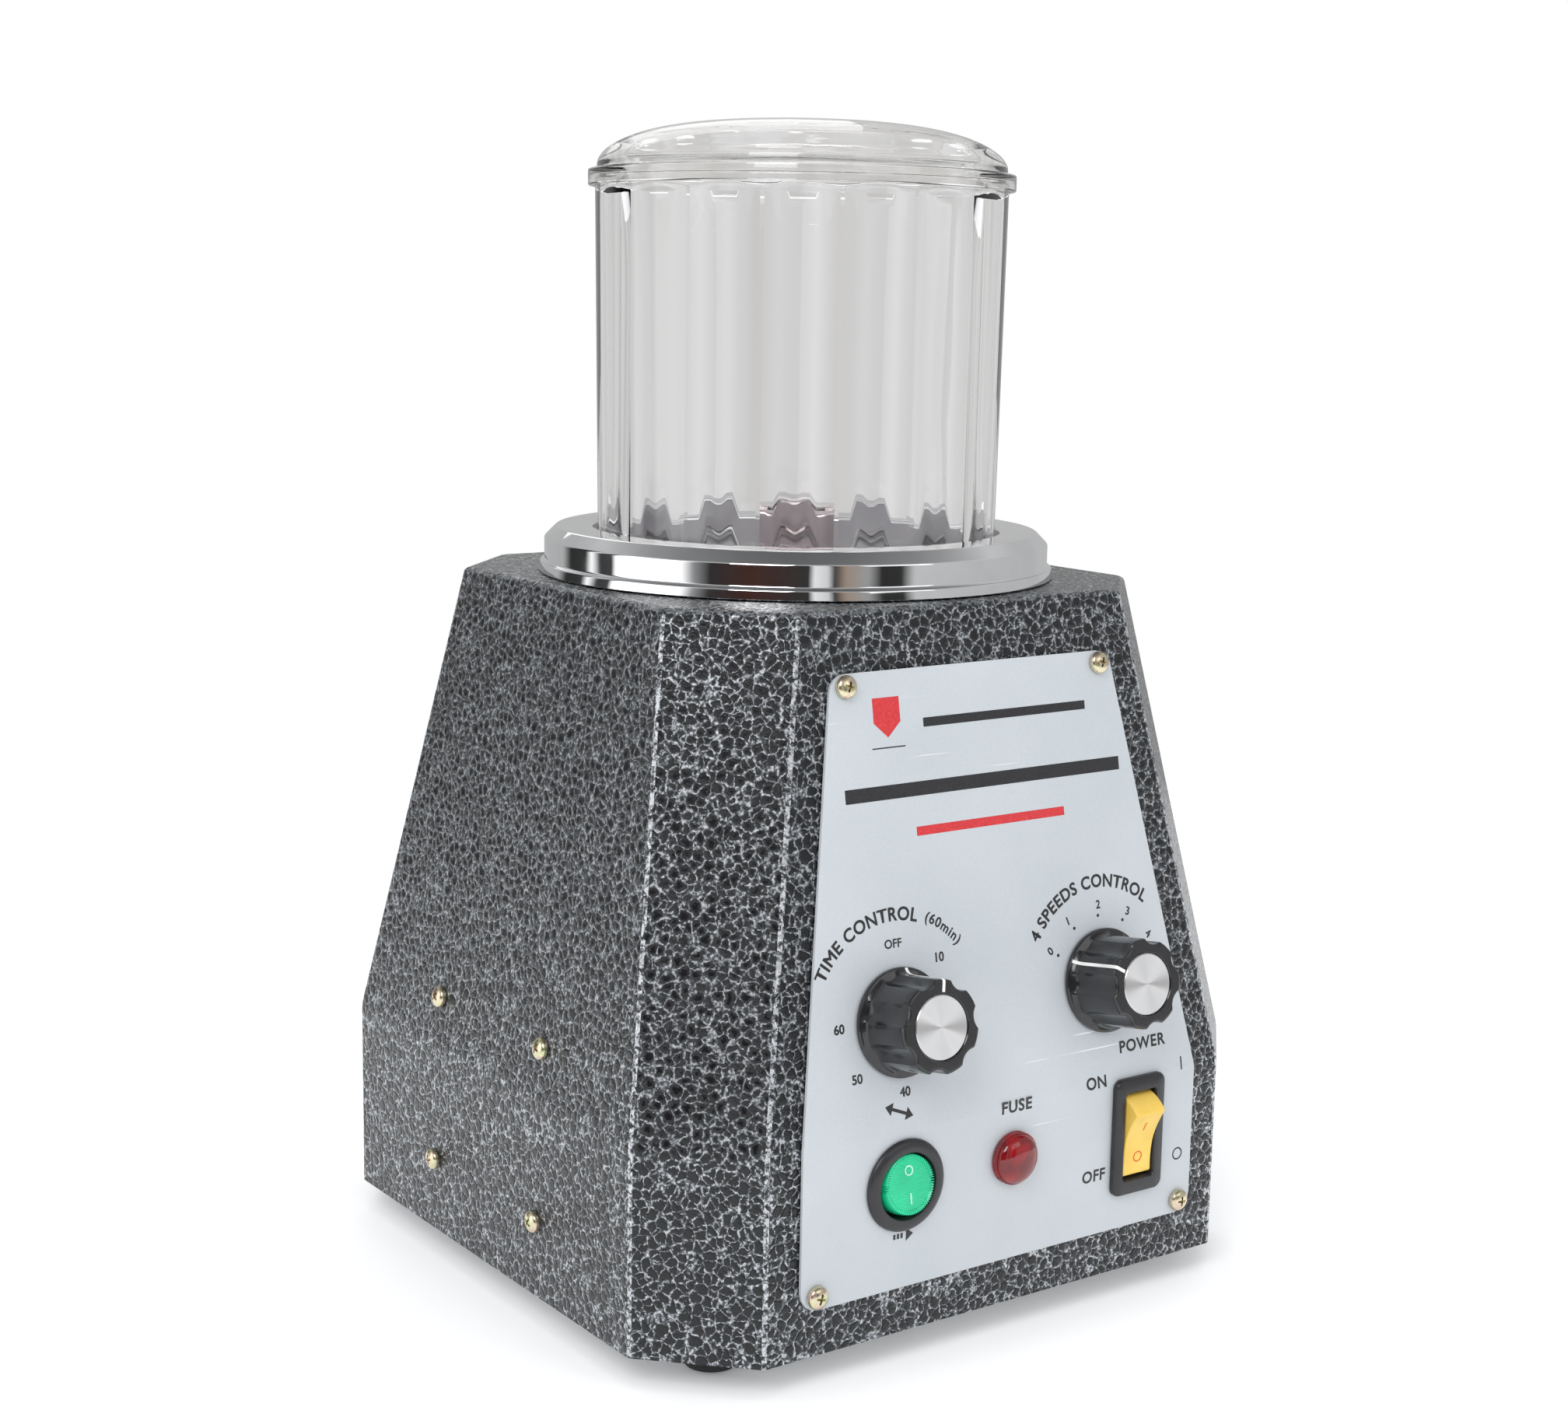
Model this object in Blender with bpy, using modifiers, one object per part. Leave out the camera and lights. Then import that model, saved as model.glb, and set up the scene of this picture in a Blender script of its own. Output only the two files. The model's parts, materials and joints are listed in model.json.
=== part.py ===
"""A bench-top magnetic tumbler for polishing small jewellery and stones, in metres with +Z up.

A motor spins a disc of magnets just under a clear, lidded bowl, and steel pins in the bowl follow it. The
bowl stands in a chromed seat on a tapered sheet-steel housing, with a timer, a speed switch, a direction
switch, a fuse and a power switch on the control plate at the front. The origin is on the bench, under the
middle of the machine's outline. The front faces -Y.
"""

import math

import bmesh
import bpy
from mathutils import Matrix, Vector

# Clearances
gap = 0.0003  # left between two pieces that rest on each other
hole_clearance = 0.0004  # round a screw, a bush or a spigot in its hole
turning_clearance = 0.0002  # round a shaft in its bore

# Housing of folded sheet steel: an upright skirt, then four walls that lean in to the top
base_width = 0.190
base_depth = 0.187
top_width = 0.147
top_depth = 0.1443
corner_cut = 0.023
foot_height = 0.0076
skirt_height = 0.051
body_height = 0.174
sheet = 0.0012

# Base plate with two side flanges, and its rubber feet
base_sheet = 0.0015
flange_reach = 0.045
foot_radius = 0.007
foot_inset = 0.0245
vent_width = 0.0035
vent_length = 0.038
vent_pitch = 0.009
vent_count = 6

# Pan-head screws
screw_radius = 0.0015
screw_length = 0.006
head_radius = 0.0028
head_height = 0.0021

# Control plate, bent to follow the fold of the front wall
plate_sheet = 0.0008
plate_margin = 0.0093
plate_bottom_margin = 0.0119
plate_top_margin = 0.015
plate_corner = 0.005
plate_screw_inset = 0.0044

# Side screws: a lower row into the base plate's flanges, an upper row into the motor bracket
side_screw_spread = 0.0266
lower_screw_height = 0.0196
upper_screw_height = 0.0124

# Chromed bowl seat
seat_height = 0.012
seat_radius = 0.0541
seat_rim_width = 0.0098
seat_bevel = 0.0031
seat_lip_width = 0.0015
seat_lip_height = 0.003
seat_floor = 0.002
seat_wall = 0.002

# Clear bowl and lid
bowl_radius = 0.0526
bowl_flare = 0.0014
bowl_height = 0.102
bowl_floor = 0.0035
bowl_bore = 0.0485
bowl_sides = 16
bowl_turn = math.radians(9.5)
facet_top_drop = 0.0045
facet_blend = 0.0018
post_radius = 0.0098
post_height = 0.0150
lid_skirt_height = 0.0043
lid_wall = 0.0015
lid_dome_height = 0.0148
lid_dome_radius = 0.0535

# Magnet disc and its four magnets
disc_radius = 0.042
disc_thickness = 0.008
disc_clearance = 0.003
magnet_radius = 0.0095
magnet_height = 0.005
magnet_circle = 0.029
hub_radius = 0.009
hub_height = 0.010

# Motor, hung under a bracket that bridges the housing
shaft_radius = 0.003
motor_radius = 0.028
motor_length = 0.064
motor_wall = 0.002
boss_radius = 0.0095
boss_height = 0.004
bearing_radius = 0.0065
bearing_width = 0.005
field_thickness = 0.005
field_length = 0.032
air_gap = 0.0008
commutator_radius = 0.009
commutator_length = 0.010
brush_width = 0.004
fan_thickness = 0.004
fan_hub_radius = 0.0075
fan_blades = 9
bracket_sheet = 0.002
bracket_width = 0.066
bracket_side_gap = 0.006
ear_height = 0.018
hub_standoff = 0.004
motor_screw_circle = 0.018

# Knobs
knob_radius = 0.0114
knob_skirt_radius = 0.0132
knob_height = 0.0158
knob_skirt_height = 0.003
knob_standoff = 0.0005
knob_lobes = 7
flute_radius = 0.0044
flute_depth = 0.0012
knob_cap_radius = 0.00765
knob_cap_thickness = 0.0010
control_shaft_radius = 0.003
bush_radius = 0.0042
nut_radius = 0.0068
nut_height = 0.002
timer_inset = 0.0308
timer_height = 0.0261
timer_rest_turn = math.radians(9)
timer_size = (0.040, 0.044, 0.024)
speed_inset = 0.0292
speed_height = 0.0266
speed_rest_turn = math.radians(60)
speed_body_radius = 0.013
speed_body_depth = 0.020

# Power rocker switch
power_inset = 0.0202
power_drop = 0.0145
power_bezel = (0.0168, 0.031)
power_body = (0.0140, 0.027, 0.022)
power_opening = (0.0104, 0.0232)
bezel_thickness = 0.0016
rocker_reach = 0.0113
rocker_spread = math.radians(53)
rocker_tilt = math.radians(15)
rocker_dish = 0.0017
rocker_depth = 0.0060
pivot_depth = 0.0019
pivot_radius = 0.0012
pivot_length = 0.0011
side_clearance = 0.0003

# Round direction switch
direction_inset = 0.030
direction_drop = 0.0131
direction_bezel_radius = 0.0115
direction_body_radius = 0.0098
direction_opening_radius = 0.0083
direction_body_depth = 0.022
direction_ball_radius = 0.0080
direction_rocker_radius = 0.0076
direction_dish = 0.0006
direction_height = 0.0040
direction_tilt = math.radians(10)
direction_pivot_depth = 0.0003

# Panel fuse holder, its cap and its glass fuse
fuse_x = 0.001
fuse_drop = 0.0127
fuse_tube_radius = 0.0056
fuse_bore = 0.0040
fuse_flange_radius = 0.0059
fuse_flange_thickness = 0.0010
fuse_holder_depth = 0.030
fuse_cap_radius = 0.0067
fuse_cap_rim = 0.0016
fuse_cap_dome = 0.0030
fuse_cap_wall = 0.0005
fuse_stem_radius = 0.0036
fuse_stem_length = 0.008
fuse_radius = 0.0026
fuse_length = 0.020
fuse_grip = 0.005

# Mains inlet on the rear wall
inlet_height = 0.0255
inlet_flange = (0.031, 0.024, 0.002)
inlet_body = (0.0275, 0.0202, 0.016)
inlet_socket = (0.0243, 0.0163, 0.014)
inlet_pin = (0.004, 0.002, 0.0085)
inlet_pin_spread = 0.007
inlet_pin_drop = 0.002

# Control board over the base plate
board_size = (0.090, 0.040, 0.0016)
board_back_gap = 0.030
board_post_height = 0.010
board_post_radius = 0.003
board_post_inset = 0.005

# Smoothness of round pieces, in steps round the circle
wide_steps = 32
small_steps = 20
screw_steps = 10

# Levels and places that follow from the sizes above
waist = foot_height + skirt_height
top = foot_height + body_height
front_lean = math.atan2((base_depth - top_depth) / 2, top - waist)
side_lean = math.atan2((base_width - top_width) / 2, top - waist)
front_slope = math.hypot((base_depth - top_depth) / 2, top - waist)
front_half = base_width / 2 - corner_cut
front_half_top = top_width / 2 - corner_cut
plate_half = front_half - plate_margin
plate_bottom = foot_height + plate_bottom_margin
plate_top = front_slope - plate_top_margin
plate_face = gap + plate_sheet
rest_on_plate = plate_face + gap
power_height = waist - power_drop
direction_height_up = waist - direction_drop
fuse_height = waist - fuse_drop
seat_wall_radius = seat_radius + seat_rim_width + seat_bevel
spigot_radius = seat_radius + seat_wall
bowl_base = top + gap
bowl_rim = bowl_base + bowl_height
bowl_rim_radius = bowl_radius + bowl_flare
lid_radius = bowl_rim_radius + gap + lid_wall
disc_top = top - seat_floor - disc_clearance
disc_bottom = disc_top - disc_thickness
shelf_top = disc_bottom - hub_height - hub_standoff - boss_height
motor_top = shelf_top - bracket_sheet - gap
motor_bottom = motor_top - motor_length
commutator_bottom = motor_bottom + motor_wall + 0.004
armature_bottom = commutator_bottom + commutator_length + 0.002
armature_radius = motor_radius - motor_wall - gap - field_thickness - air_gap


def reach_forward():
    """How far the knob faces and the power rocker's raised tip stand out in front of the housing's axis."""
    knob_face = plate_face + knob_standoff + knob_height
    knob_y = base_depth / 2 - knob_skirt_up() * math.sin(front_lean) + knob_face * math.cos(front_lean)
    return knob_y


def knob_skirt_up():
    """Height up the leaning wall of the lowest point of the lower knob's face, which stands out furthest."""
    return min(timer_height, speed_height) - knob_radius


# The housing's own axis is behind the origin, because the knobs stand out more than the inlet does
reach_back = base_depth / 2 + gap + inlet_flange[2]
axis_y = (reach_forward() - reach_back) / 2


def empty_scene():
    for thing in list(bpy.data.objects):
        bpy.data.objects.remove(thing, do_unlink=True)


def new_collection(name, hidden=False):
    made = bpy.data.collections.new(name)
    bpy.context.scene.collection.children.link(made)
    made.hide_render = hidden
    return made


empty_scene()
parts = new_collection("magnetic_tumbler")
cutters = new_collection("cutters", hidden=True)
housing_cutters = new_collection("housing_cutters", hidden=True)
plate_cutters = new_collection("plate_cutters", hidden=True)

stand = bpy.data.objects.new("housing_axis", None)
stand.location = (0, axis_y, 0)
stand.empty_display_size = 0.02
parts.objects.link(stand)


def finish(name, colour, roughness, metallic=0.0, clear=0.0):
    """A plain material with a Principled shader; clear is how much light passes through it."""
    material = bpy.data.materials.new(name)
    material.use_nodes = True
    shader = material.node_tree.nodes["Principled BSDF"]
    shader.inputs["Base Color"].default_value = (*colour, 1)
    shader.inputs["Roughness"].default_value = roughness
    shader.inputs["Metallic"].default_value = metallic
    shader.inputs["Transmission Weight"].default_value = clear
    return material


hammer_paint = finish("hammer_paint", (0.09, 0.095, 0.105), 0.35, 0.3)
plate_paint = finish("plate_paint", (0.72, 0.75, 0.78), 0.35)
chrome = finish("chrome", (0.85, 0.86, 0.88), 0.05, 1.0)
clear_plastic = finish("clear_plastic", (0.95, 0.96, 0.98), 0.03, clear=1.0)
black_plastic = finish("black_plastic", (0.02, 0.02, 0.023), 0.3)
yellow_plastic = finish("yellow_plastic", (0.90, 0.58, 0.08), 0.35)
green_plastic = finish("green_plastic", (0.01, 0.50, 0.22), 0.15, clear=0.5)
red_plastic = finish("red_plastic", (0.55, 0.02, 0.03), 0.1, clear=0.5)
rubber = finish("rubber", (0.015, 0.015, 0.016), 0.8)
yellow_zinc = finish("yellow_zinc", (0.72, 0.66, 0.36), 0.25, 1.0)
bright_steel = finish("bright_steel", (0.60, 0.60, 0.61), 0.3, 1.0)
zinc_steel = finish("zinc_steel", (0.55, 0.57, 0.58), 0.4, 1.0)
aluminium = finish("aluminium", (0.80, 0.80, 0.81), 0.25, 1.0)
magnet_nickel = finish("magnet_nickel", (0.70, 0.69, 0.66), 0.2, 1.0)
ferrite = finish("ferrite", (0.05, 0.05, 0.055), 0.6)
copper = finish("copper", (0.72, 0.36, 0.18), 0.35, 1.0)
carbon = finish("carbon", (0.03, 0.03, 0.03), 0.7)
board_green = finish("board_green", (0.02, 0.16, 0.07), 0.4)
glass = finish("glass", (0.92, 0.95, 0.95), 0.02, clear=1.0)


def place_object(name, mesh, material, place, home=parts):
    """One object standing on the housing's axis empty, at the given place in the housing's own frame."""
    made = bpy.data.objects.new(name, mesh)
    if material:
        mesh.materials.append(material)
    made.parent = stand
    made.matrix_local = place
    home.objects.link(made)
    if home is not parts:
        made.hide_render = True
        made.display_type = "WIRE"
    return made


def smooth(mesh):
    mesh.shade_smooth()
    mesh.set_sharp_from_angle(angle=math.radians(32))


def turned(name, profile, material, place, steps=small_steps, home=parts):
    """A round piece turned about its Z axis from (radius, height) points, top to bottom on its outer side."""
    outline = bpy.data.meshes.new(name + "_profile")
    points = [(radius, 0, height) for radius, height in profile]
    edges = [(i, i + 1) for i in range(len(points) - 1)]
    if profile[0][0] > 0:
        edges.append((len(points) - 1, 0))
    outline.from_pydata(points, edges, [])
    guide = bpy.data.objects.new(name + "_guide", outline)
    bpy.context.scene.collection.objects.link(guide)
    turn = guide.modifiers.new("turn", "SCREW")
    turn.steps = steps
    turn.render_steps = steps
    turn.use_merge_vertices = True
    turn.merge_threshold = 0.00001
    graph = bpy.context.evaluated_depsgraph_get()
    mesh = bpy.data.meshes.new_from_object(guide.evaluated_get(graph))
    mesh.name = name
    bpy.data.objects.remove(guide, do_unlink=True)
    smooth(mesh)
    return place_object(name, mesh, material, place, home)


def extruded(name, outline, low, high, material, place, home=parts):
    """A flat outline of (x, y) points, anticlockwise, extruded along its Z axis from low to high."""
    shape = bmesh.new()
    face = shape.faces.new([shape.verts.new((x, y, low)) for x, y in outline])
    raised = bmesh.ops.extrude_face_region(shape, geom=[face])
    bmesh.ops.translate(
        shape,
        vec=(0, 0, high - low),
        verts=[item for item in raised["geom"] if isinstance(item, bmesh.types.BMVert)],
    )
    bmesh.ops.recalc_face_normals(shape, faces=shape.faces)
    mesh = bpy.data.meshes.new(name)
    shape.to_mesh(mesh)
    shape.free()
    return place_object(name, mesh, material, place, home)


def block(name, size, material, place, bevel=0.0, home=parts):
    """A box of the given size centred on its place, with rounded edges when a bevel is given."""
    shape = bmesh.new()
    bmesh.ops.create_cube(shape, size=1)
    bmesh.ops.scale(shape, vec=size, verts=shape.verts)
    mesh = bpy.data.meshes.new(name)
    shape.to_mesh(mesh)
    shape.free()
    made = place_object(name, mesh, material, place, home)
    if bevel:
        rounding = made.modifiers.new("rounding", "BEVEL")
        rounding.width = bevel
        rounding.segments = 2
    return made


def combine(target, others, operation="DIFFERENCE"):
    """Boolean modifiers that cut the others from the target, or join them to it."""
    for other in others:
        other.hide_render = True
        other.display_type = "WIRE"
        change = target.modifiers.new(operation.lower() + "_" + other.name, "BOOLEAN")
        change.operation = operation
        change.object = other
        change.solver = "EXACT"


def cut_with_collection(target, collection):
    change = target.modifiers.new("holes", "BOOLEAN")
    change.operation = "DIFFERENCE"
    change.operand_type = "COLLECTION"
    change.collection = collection
    change.solver = "EXACT"


def at(x=0.0, y=0.0, z=0.0):
    return Matrix.Translation((x, y, z))


def wall_frame(azimuth, reach, lean, height):
    """A wall's own frame: X across it, Y up it and Z out of it. Azimuth 0 is the front wall."""
    upright = Matrix.Rotation(math.pi / 2 - lean, 4, "X")
    return Matrix.Rotation(azimuth, 4, "Z") @ at(0, -reach, height) @ upright


front_lower = wall_frame(0, base_depth / 2, 0, 0)
front_upper = wall_frame(0, base_depth / 2, front_lean, waist)
rear_lower = wall_frame(math.pi, base_depth / 2, 0, 0)


def octagon(half_x, half_y, cut):
    """The eight corners of a rectangle with its corners cut off, anticlockwise from the front right."""
    right_front = [(half_x - cut, -half_y), (half_x, -half_y + cut)]
    right_back = [(half_x, half_y - cut), (half_x - cut, half_y)]
    left_back = [(-x, y) for x, y in reversed(right_back)]
    left_front = [(-x, y) for x, y in reversed(right_front)]
    return right_front + right_back + left_back + left_front


def circle(radius, steps, x=0.0, y=0.0):
    angles = [2 * math.pi * i / steps for i in range(steps)]
    return [(x + radius * math.cos(a), y + radius * math.sin(a)) for a in angles]


def rounded_box(half_x, half_y, radius, steps=3):
    """A rectangle with round corners, anticlockwise."""
    points = []
    for quarter, (sx, sy) in enumerate(((1, -1), (1, 1), (-1, 1), (-1, -1))):
        for i in range(steps + 1):
            angle = math.pi / 2 * (quarter - 1 + i / steps)
            x = sx * (half_x - radius) + radius * math.cos(angle)
            y = sy * (half_y - radius) + radius * math.sin(angle)
            points.append((x, y))
    return points


# ---- Housing shell -----------------------------------------------------------------------------------


def housing_shell():
    """The folded shell: skirt, leaning walls and top as one sheet, open underneath."""
    levels = (
        (foot_height, base_width / 2, base_depth / 2),
        (waist, base_width / 2, base_depth / 2),
        (top, top_width / 2, top_depth / 2),
    )
    shape = bmesh.new()
    rings = [
        [shape.verts.new((x, y, z)) for x, y in octagon(half_x, half_y, corner_cut)]
        for z, half_x, half_y in levels
    ]
    for lower, upper in zip(rings, rings[1:]):
        for i in range(8):
            j = (i + 1) % 8
            shape.faces.new((lower[i], lower[j], upper[j], upper[i]))
    shape.faces.new(rings[-1])
    mesh = bpy.data.meshes.new("housing_shell")
    shape.to_mesh(mesh)
    shape.free()
    shell = place_object("housing_shell", mesh, hammer_paint, at())
    wall = shell.modifiers.new("sheet", "SOLIDIFY")
    wall.thickness = sheet
    wall.offset = -1
    wall.use_even_offset = True
    cut_with_collection(shell, housing_cutters)
    return shell


housing_shell()

seat_hole_radius = spigot_radius + hole_clearance
turned(
    "seat_hole",
    [(0, top + 0.01), (seat_hole_radius, top + 0.01), (seat_hole_radius, top - 0.01), (0, top - 0.01)],
    None,
    at(),
    wide_steps,
    housing_cutters,
)


def panel_hole(name, outline, place, through_plate=True):
    """A hole right through the front wall, and through the control plate over it."""
    depth = 0.004
    hole = extruded(name, outline, -depth, depth, None, place, housing_cutters)
    if through_plate:
        plate_cutters.objects.link(hole)
    return hole


# ---- Control plate -----------------------------------------------------------------------------------


def plate_half_at(slope):
    """Half the plate's width at a height up the leaning wall; its sides run parallel to the wall's edges."""
    narrowing = (front_half - front_half_top) * max(slope, 0) / front_slope
    return plate_half - narrowing


def corner(x, y, start, end, radius=plate_corner, steps=4):
    """Points round a rounded corner whose arc centre is at x, y, from one angle to the other."""
    angles = [start + (end - start) * i / steps for i in range(steps + 1)]
    return [(x + radius * math.cos(a), y + radius * math.sin(a)) for a in angles]


def control_plate():
    """The bent plate: its lower half upright on the skirt, its upper half on the leaning wall."""
    edge_lean = math.atan2(front_half - front_half_top, front_slope)
    half_top = plate_half_at(plate_top)
    inset = plate_corner
    shift = plate_corner * (1 - math.sin(edge_lean)) / math.cos(edge_lean)
    low_right = corner(plate_half - inset, plate_bottom + inset, -math.pi / 2, 0)
    low_left = [(-x, z) for x, z in reversed(low_right)]
    up_right = corner(half_top - shift, plate_top - inset, edge_lean, math.pi / 2)
    up_left = [(-x, s) for x, s in reversed(up_right)]
    fold_rise = gap * math.tan(front_lean / 2)
    shape = bmesh.new()
    fold = [
        shape.verts.new(front_lower @ Vector((side * plate_half, waist + fold_rise, gap)))
        for side in (-1, 1)
    ]
    lower = [shape.verts.new(front_lower @ Vector((x, z, gap))) for x, z in low_left + low_right]
    upper = [shape.verts.new(front_upper @ Vector((x, s, gap))) for x, s in up_right + up_left]
    shape.faces.new([fold[0], *lower, fold[1]])
    shape.faces.new([fold[1], *upper, fold[0]])
    mesh = bpy.data.meshes.new("control_plate")
    shape.to_mesh(mesh)
    shape.free()
    plate = place_object("control_plate", mesh, plate_paint, at())
    thickness = plate.modifiers.new("sheet", "SOLIDIFY")
    thickness.thickness = plate_sheet
    thickness.offset = 1
    thickness.use_even_offset = True
    cut_with_collection(plate, plate_cutters)
    return plate


control_plate()


def pan_screw(name, place):
    """A pan-head screw standing on its place, with its shank along -Z."""
    head = [(head_radius * math.cos(a), head_height * (0.35 + 0.65 * math.sin(a))) for a in (1.25, 0.7, 0.0)]
    shank = [(screw_radius, 0), (screw_radius, -screw_length), (0, -screw_length)]
    profile = [(0, head_height), *head, (head_radius, 0), *shank]
    return turned(name, profile, yellow_zinc, place, screw_steps)


def plate_screws():
    low = plate_bottom + plate_screw_inset * 0.8
    high = plate_top - plate_screw_inset * 0.8
    places = {
        "plate_screw_lower_left": (front_lower, -(plate_half - plate_screw_inset), low),
        "plate_screw_lower_right": (front_lower, plate_half - plate_screw_inset, low),
        "plate_screw_upper_left": (front_upper, -(plate_half_at(high) - plate_screw_inset), high),
        "plate_screw_upper_right": (front_upper, plate_half_at(high) - plate_screw_inset, high),
    }
    for name, (frame, x, up) in places.items():
        pan_screw(name, frame @ at(x, up, rest_on_plate))
        panel_hole(name + "_hole", circle(screw_radius + hole_clearance, screw_steps), frame @ at(x, up))


plate_screws()


# ---- Base plate, feet and side screws ----------------------------------------------------------------

side_frames = {}
for side, azimuth in (("left", -math.pi / 2), ("right", math.pi / 2)):
    lower = wall_frame(azimuth, base_width / 2, 0, 0)
    upper = wall_frame(azimuth, base_width / 2, side_lean, waist)
    side_frames[side] = (lower, upper)
flange_face = base_width / 2 - sheet - gap
flange_top = foot_height + lower_screw_height + 0.006
side_hole_cutters = []


def side_screws():
    """Four screws a side: the lower two hold the base plate's flange, the upper two the bracket's ear."""
    low = foot_height + lower_screw_height
    for side, (lower, upper) in side_frames.items():
        for frame, row, height in ((lower, "lower", low), (upper, "upper", upper_screw_height)):
            for end, across in (("front", -side_screw_spread), ("rear", side_screw_spread)):
                x = across if side == "right" else -across
                name = f"side_screw_{side}_{row}_{end}"
                pan_screw(name, frame @ at(x, height, gap))
                outline = circle(screw_radius + hole_clearance, screw_steps)
                place = frame @ at(x, height)
                hole = extruded(name + "_hole", outline, -0.008, 0.004, None, place, housing_cutters)
                side_hole_cutters.append((row, hole))


side_screws()


def base_plate():
    """The floor of the housing, with vents, posts for the control board and a flange up each side."""
    clearance = sheet + gap
    outline = octagon(base_width / 2 - clearance, base_depth / 2 - clearance, corner_cut - clearance * 0.6)
    plate = extruded("base_plate", outline, foot_height, foot_height + base_sheet, zinc_steel, at())
    rise = flange_top - foot_height - 0.0002
    for side in (-1, 1):
        x = side * (flange_face - base_sheet / 2)
        place = at(x, 0, foot_height + 0.0002 + rise / 2)
        flange = block(f"flange_{side}", (base_sheet, 2 * flange_reach, rise), None, place, home=cutters)
        combine(plate, [flange], "UNION")
    for i, (x, y) in enumerate(board_post_places()):
        high = foot_height + base_sheet + board_post_height
        low = foot_height + 0.0005
        profile = [(0, high), (board_post_radius, high), (board_post_radius, low), (0, low)]
        post = turned(f"board_post_{i}", profile, None, at(x, y), screw_steps, cutters)
        combine(plate, [post], "UNION")
    for i in range(vent_count):
        x = (i - (vent_count - 1) / 2) * vent_pitch
        place = at(x, -0.02, foot_height)
        vent = block(f"vent_{i}", (vent_width, vent_length, 0.01), None, place, home=cutters)
        combine(plate, [vent])
    for i, (x, y) in enumerate(foot_places()):
        hole = extruded(f"foot_hole_{i}", circle(0.0018, screw_steps), 0, 0.012, None, at(x, y), cutters)
        combine(plate, [hole])
    combine(plate, [hole for row, hole in side_hole_cutters if row == "lower"])
    return plate


def board_post_places():
    half_x = board_size[0] / 2 - board_post_inset
    half_y = board_size[1] / 2 - board_post_inset
    middle = base_depth / 2 - board_back_gap - board_size[1] / 2
    return [(sx * half_x, middle + sy * half_y) for sx in (-1, 1) for sy in (-1, 1)]


def foot_places():
    x = base_width / 2 - foot_inset
    y = base_depth / 2 - foot_inset
    return [(-x, -y), (x, -y), (-x, y), (x, y)]


base_plate()


def rubber_feet():
    """Four moulded feet, hollow in the middle for the screw that holds each to the base plate."""
    height = foot_height - gap
    profile = [
        (0.0020, height),
        (foot_radius, height),
        (foot_radius, height * 0.45),
        (foot_radius * 0.9, 0),
        (0.0042, 0),
        (0.0042, height * 0.5),
        (0.0020, height * 0.5),
    ]
    names = ("foot_front_left", "foot_front_right", "foot_rear_left", "foot_rear_right")
    for name, (x, y) in zip(names, foot_places()):
        turned(name, profile, rubber, at(x, y))


rubber_feet()


# ---- Chromed bowl seat -------------------------------------------------------------------------------


def bowl_seat():
    """A moulded and chromed ring with a floor for the bowl; its spigot drops into the housing's top."""
    lip_bottom = top + gap
    lip_radius = seat_wall_radius + seat_lip_width
    bevel_bottom = top + seat_height - seat_bevel
    hollow_top = top + seat_height - seat_wall * 1.6
    profile = [
        (0, top),
        (seat_radius, top),
        (seat_radius, top + seat_height - 0.0008),
        (seat_radius + 0.0008, top + seat_height),
        (seat_wall_radius - seat_bevel, top + seat_height),
        (seat_wall_radius, bevel_bottom),
        (seat_wall_radius, lip_bottom + seat_lip_height),
        (lip_radius - 0.0006, lip_bottom + seat_lip_height),
        (lip_radius, lip_bottom + seat_lip_height * 0.5),
        (lip_radius - 0.0005, lip_bottom),
        (seat_wall_radius - seat_wall, lip_bottom),
        (seat_wall_radius - seat_wall, hollow_top - seat_bevel * 0.7),
        (seat_wall_radius - seat_wall - 0.0025, hollow_top),
        (spigot_radius, hollow_top),
        (spigot_radius, top - seat_floor - 0.0012),
        (spigot_radius - seat_wall, top - seat_floor - 0.0012),
        (spigot_radius - seat_wall, top - seat_floor),
        (0, top - seat_floor),
    ]
    return turned("bowl_seat", profile, chrome, at(), wide_steps)


bowl_seat()


# ---- Bowl and lid ------------------------------------------------------------------------------------


def bowl():
    """The clear bowl: round outside, sixteen flats inside that end in short slopes, and a post in the middle."""
    outer = [
        (0, bowl_rim),
        (bowl_rim_radius, bowl_rim),
        (bowl_radius + 0.0002, bowl_base + 0.004),
        (bowl_radius - 0.0015, bowl_base),
        (0, bowl_base),
    ]
    body = turned("bowl", outer, clear_plastic, Matrix.Rotation(bowl_turn, 4, "Z"), wide_steps)
    floor = bowl_base + bowl_floor
    flats_top = bowl_rim - facet_top_drop
    round_top = bowl_rim + 0.01
    bore = [(0, round_top), (bowl_bore, round_top), (bowl_bore, floor), (0, floor)]
    flats_turn = Matrix.Rotation(bowl_turn - math.pi / bowl_sides, 4, "Z")
    bore_cutter = turned("bowl_bore", bore, None, flats_turn, wide_steps, cutters)
    corner_radius = bowl_bore + 0.0001
    flats_end = round_top + 0.001
    lean_out = corner_radius * (1 / math.cos(math.pi / bowl_sides) - 1) / facet_blend
    flats = [
        (0, flats_end),
        (corner_radius + (flats_end - flats_top) * lean_out, flats_end),
        (corner_radius, flats_top),
        (corner_radius, floor - 0.001),
        (0, floor - 0.001),
    ]
    flats_shape = turned("bowl_flats", flats, None, flats_turn, bowl_sides, cutters)
    combine(bore_cutter, [flats_shape], "INTERSECT")
    combine(body, [bore_cutter])
    post = [
        (0, floor + post_height),
        (post_radius - 0.001, floor + post_height),
        (post_radius, floor + post_height - 0.001),
        (post_radius, floor - 0.001),
        (0, floor - 0.001),
    ]
    combine(body, [turned("bowl_post", post, None, at(), small_steps, cutters)], "UNION")
    return body


bowl()


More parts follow.
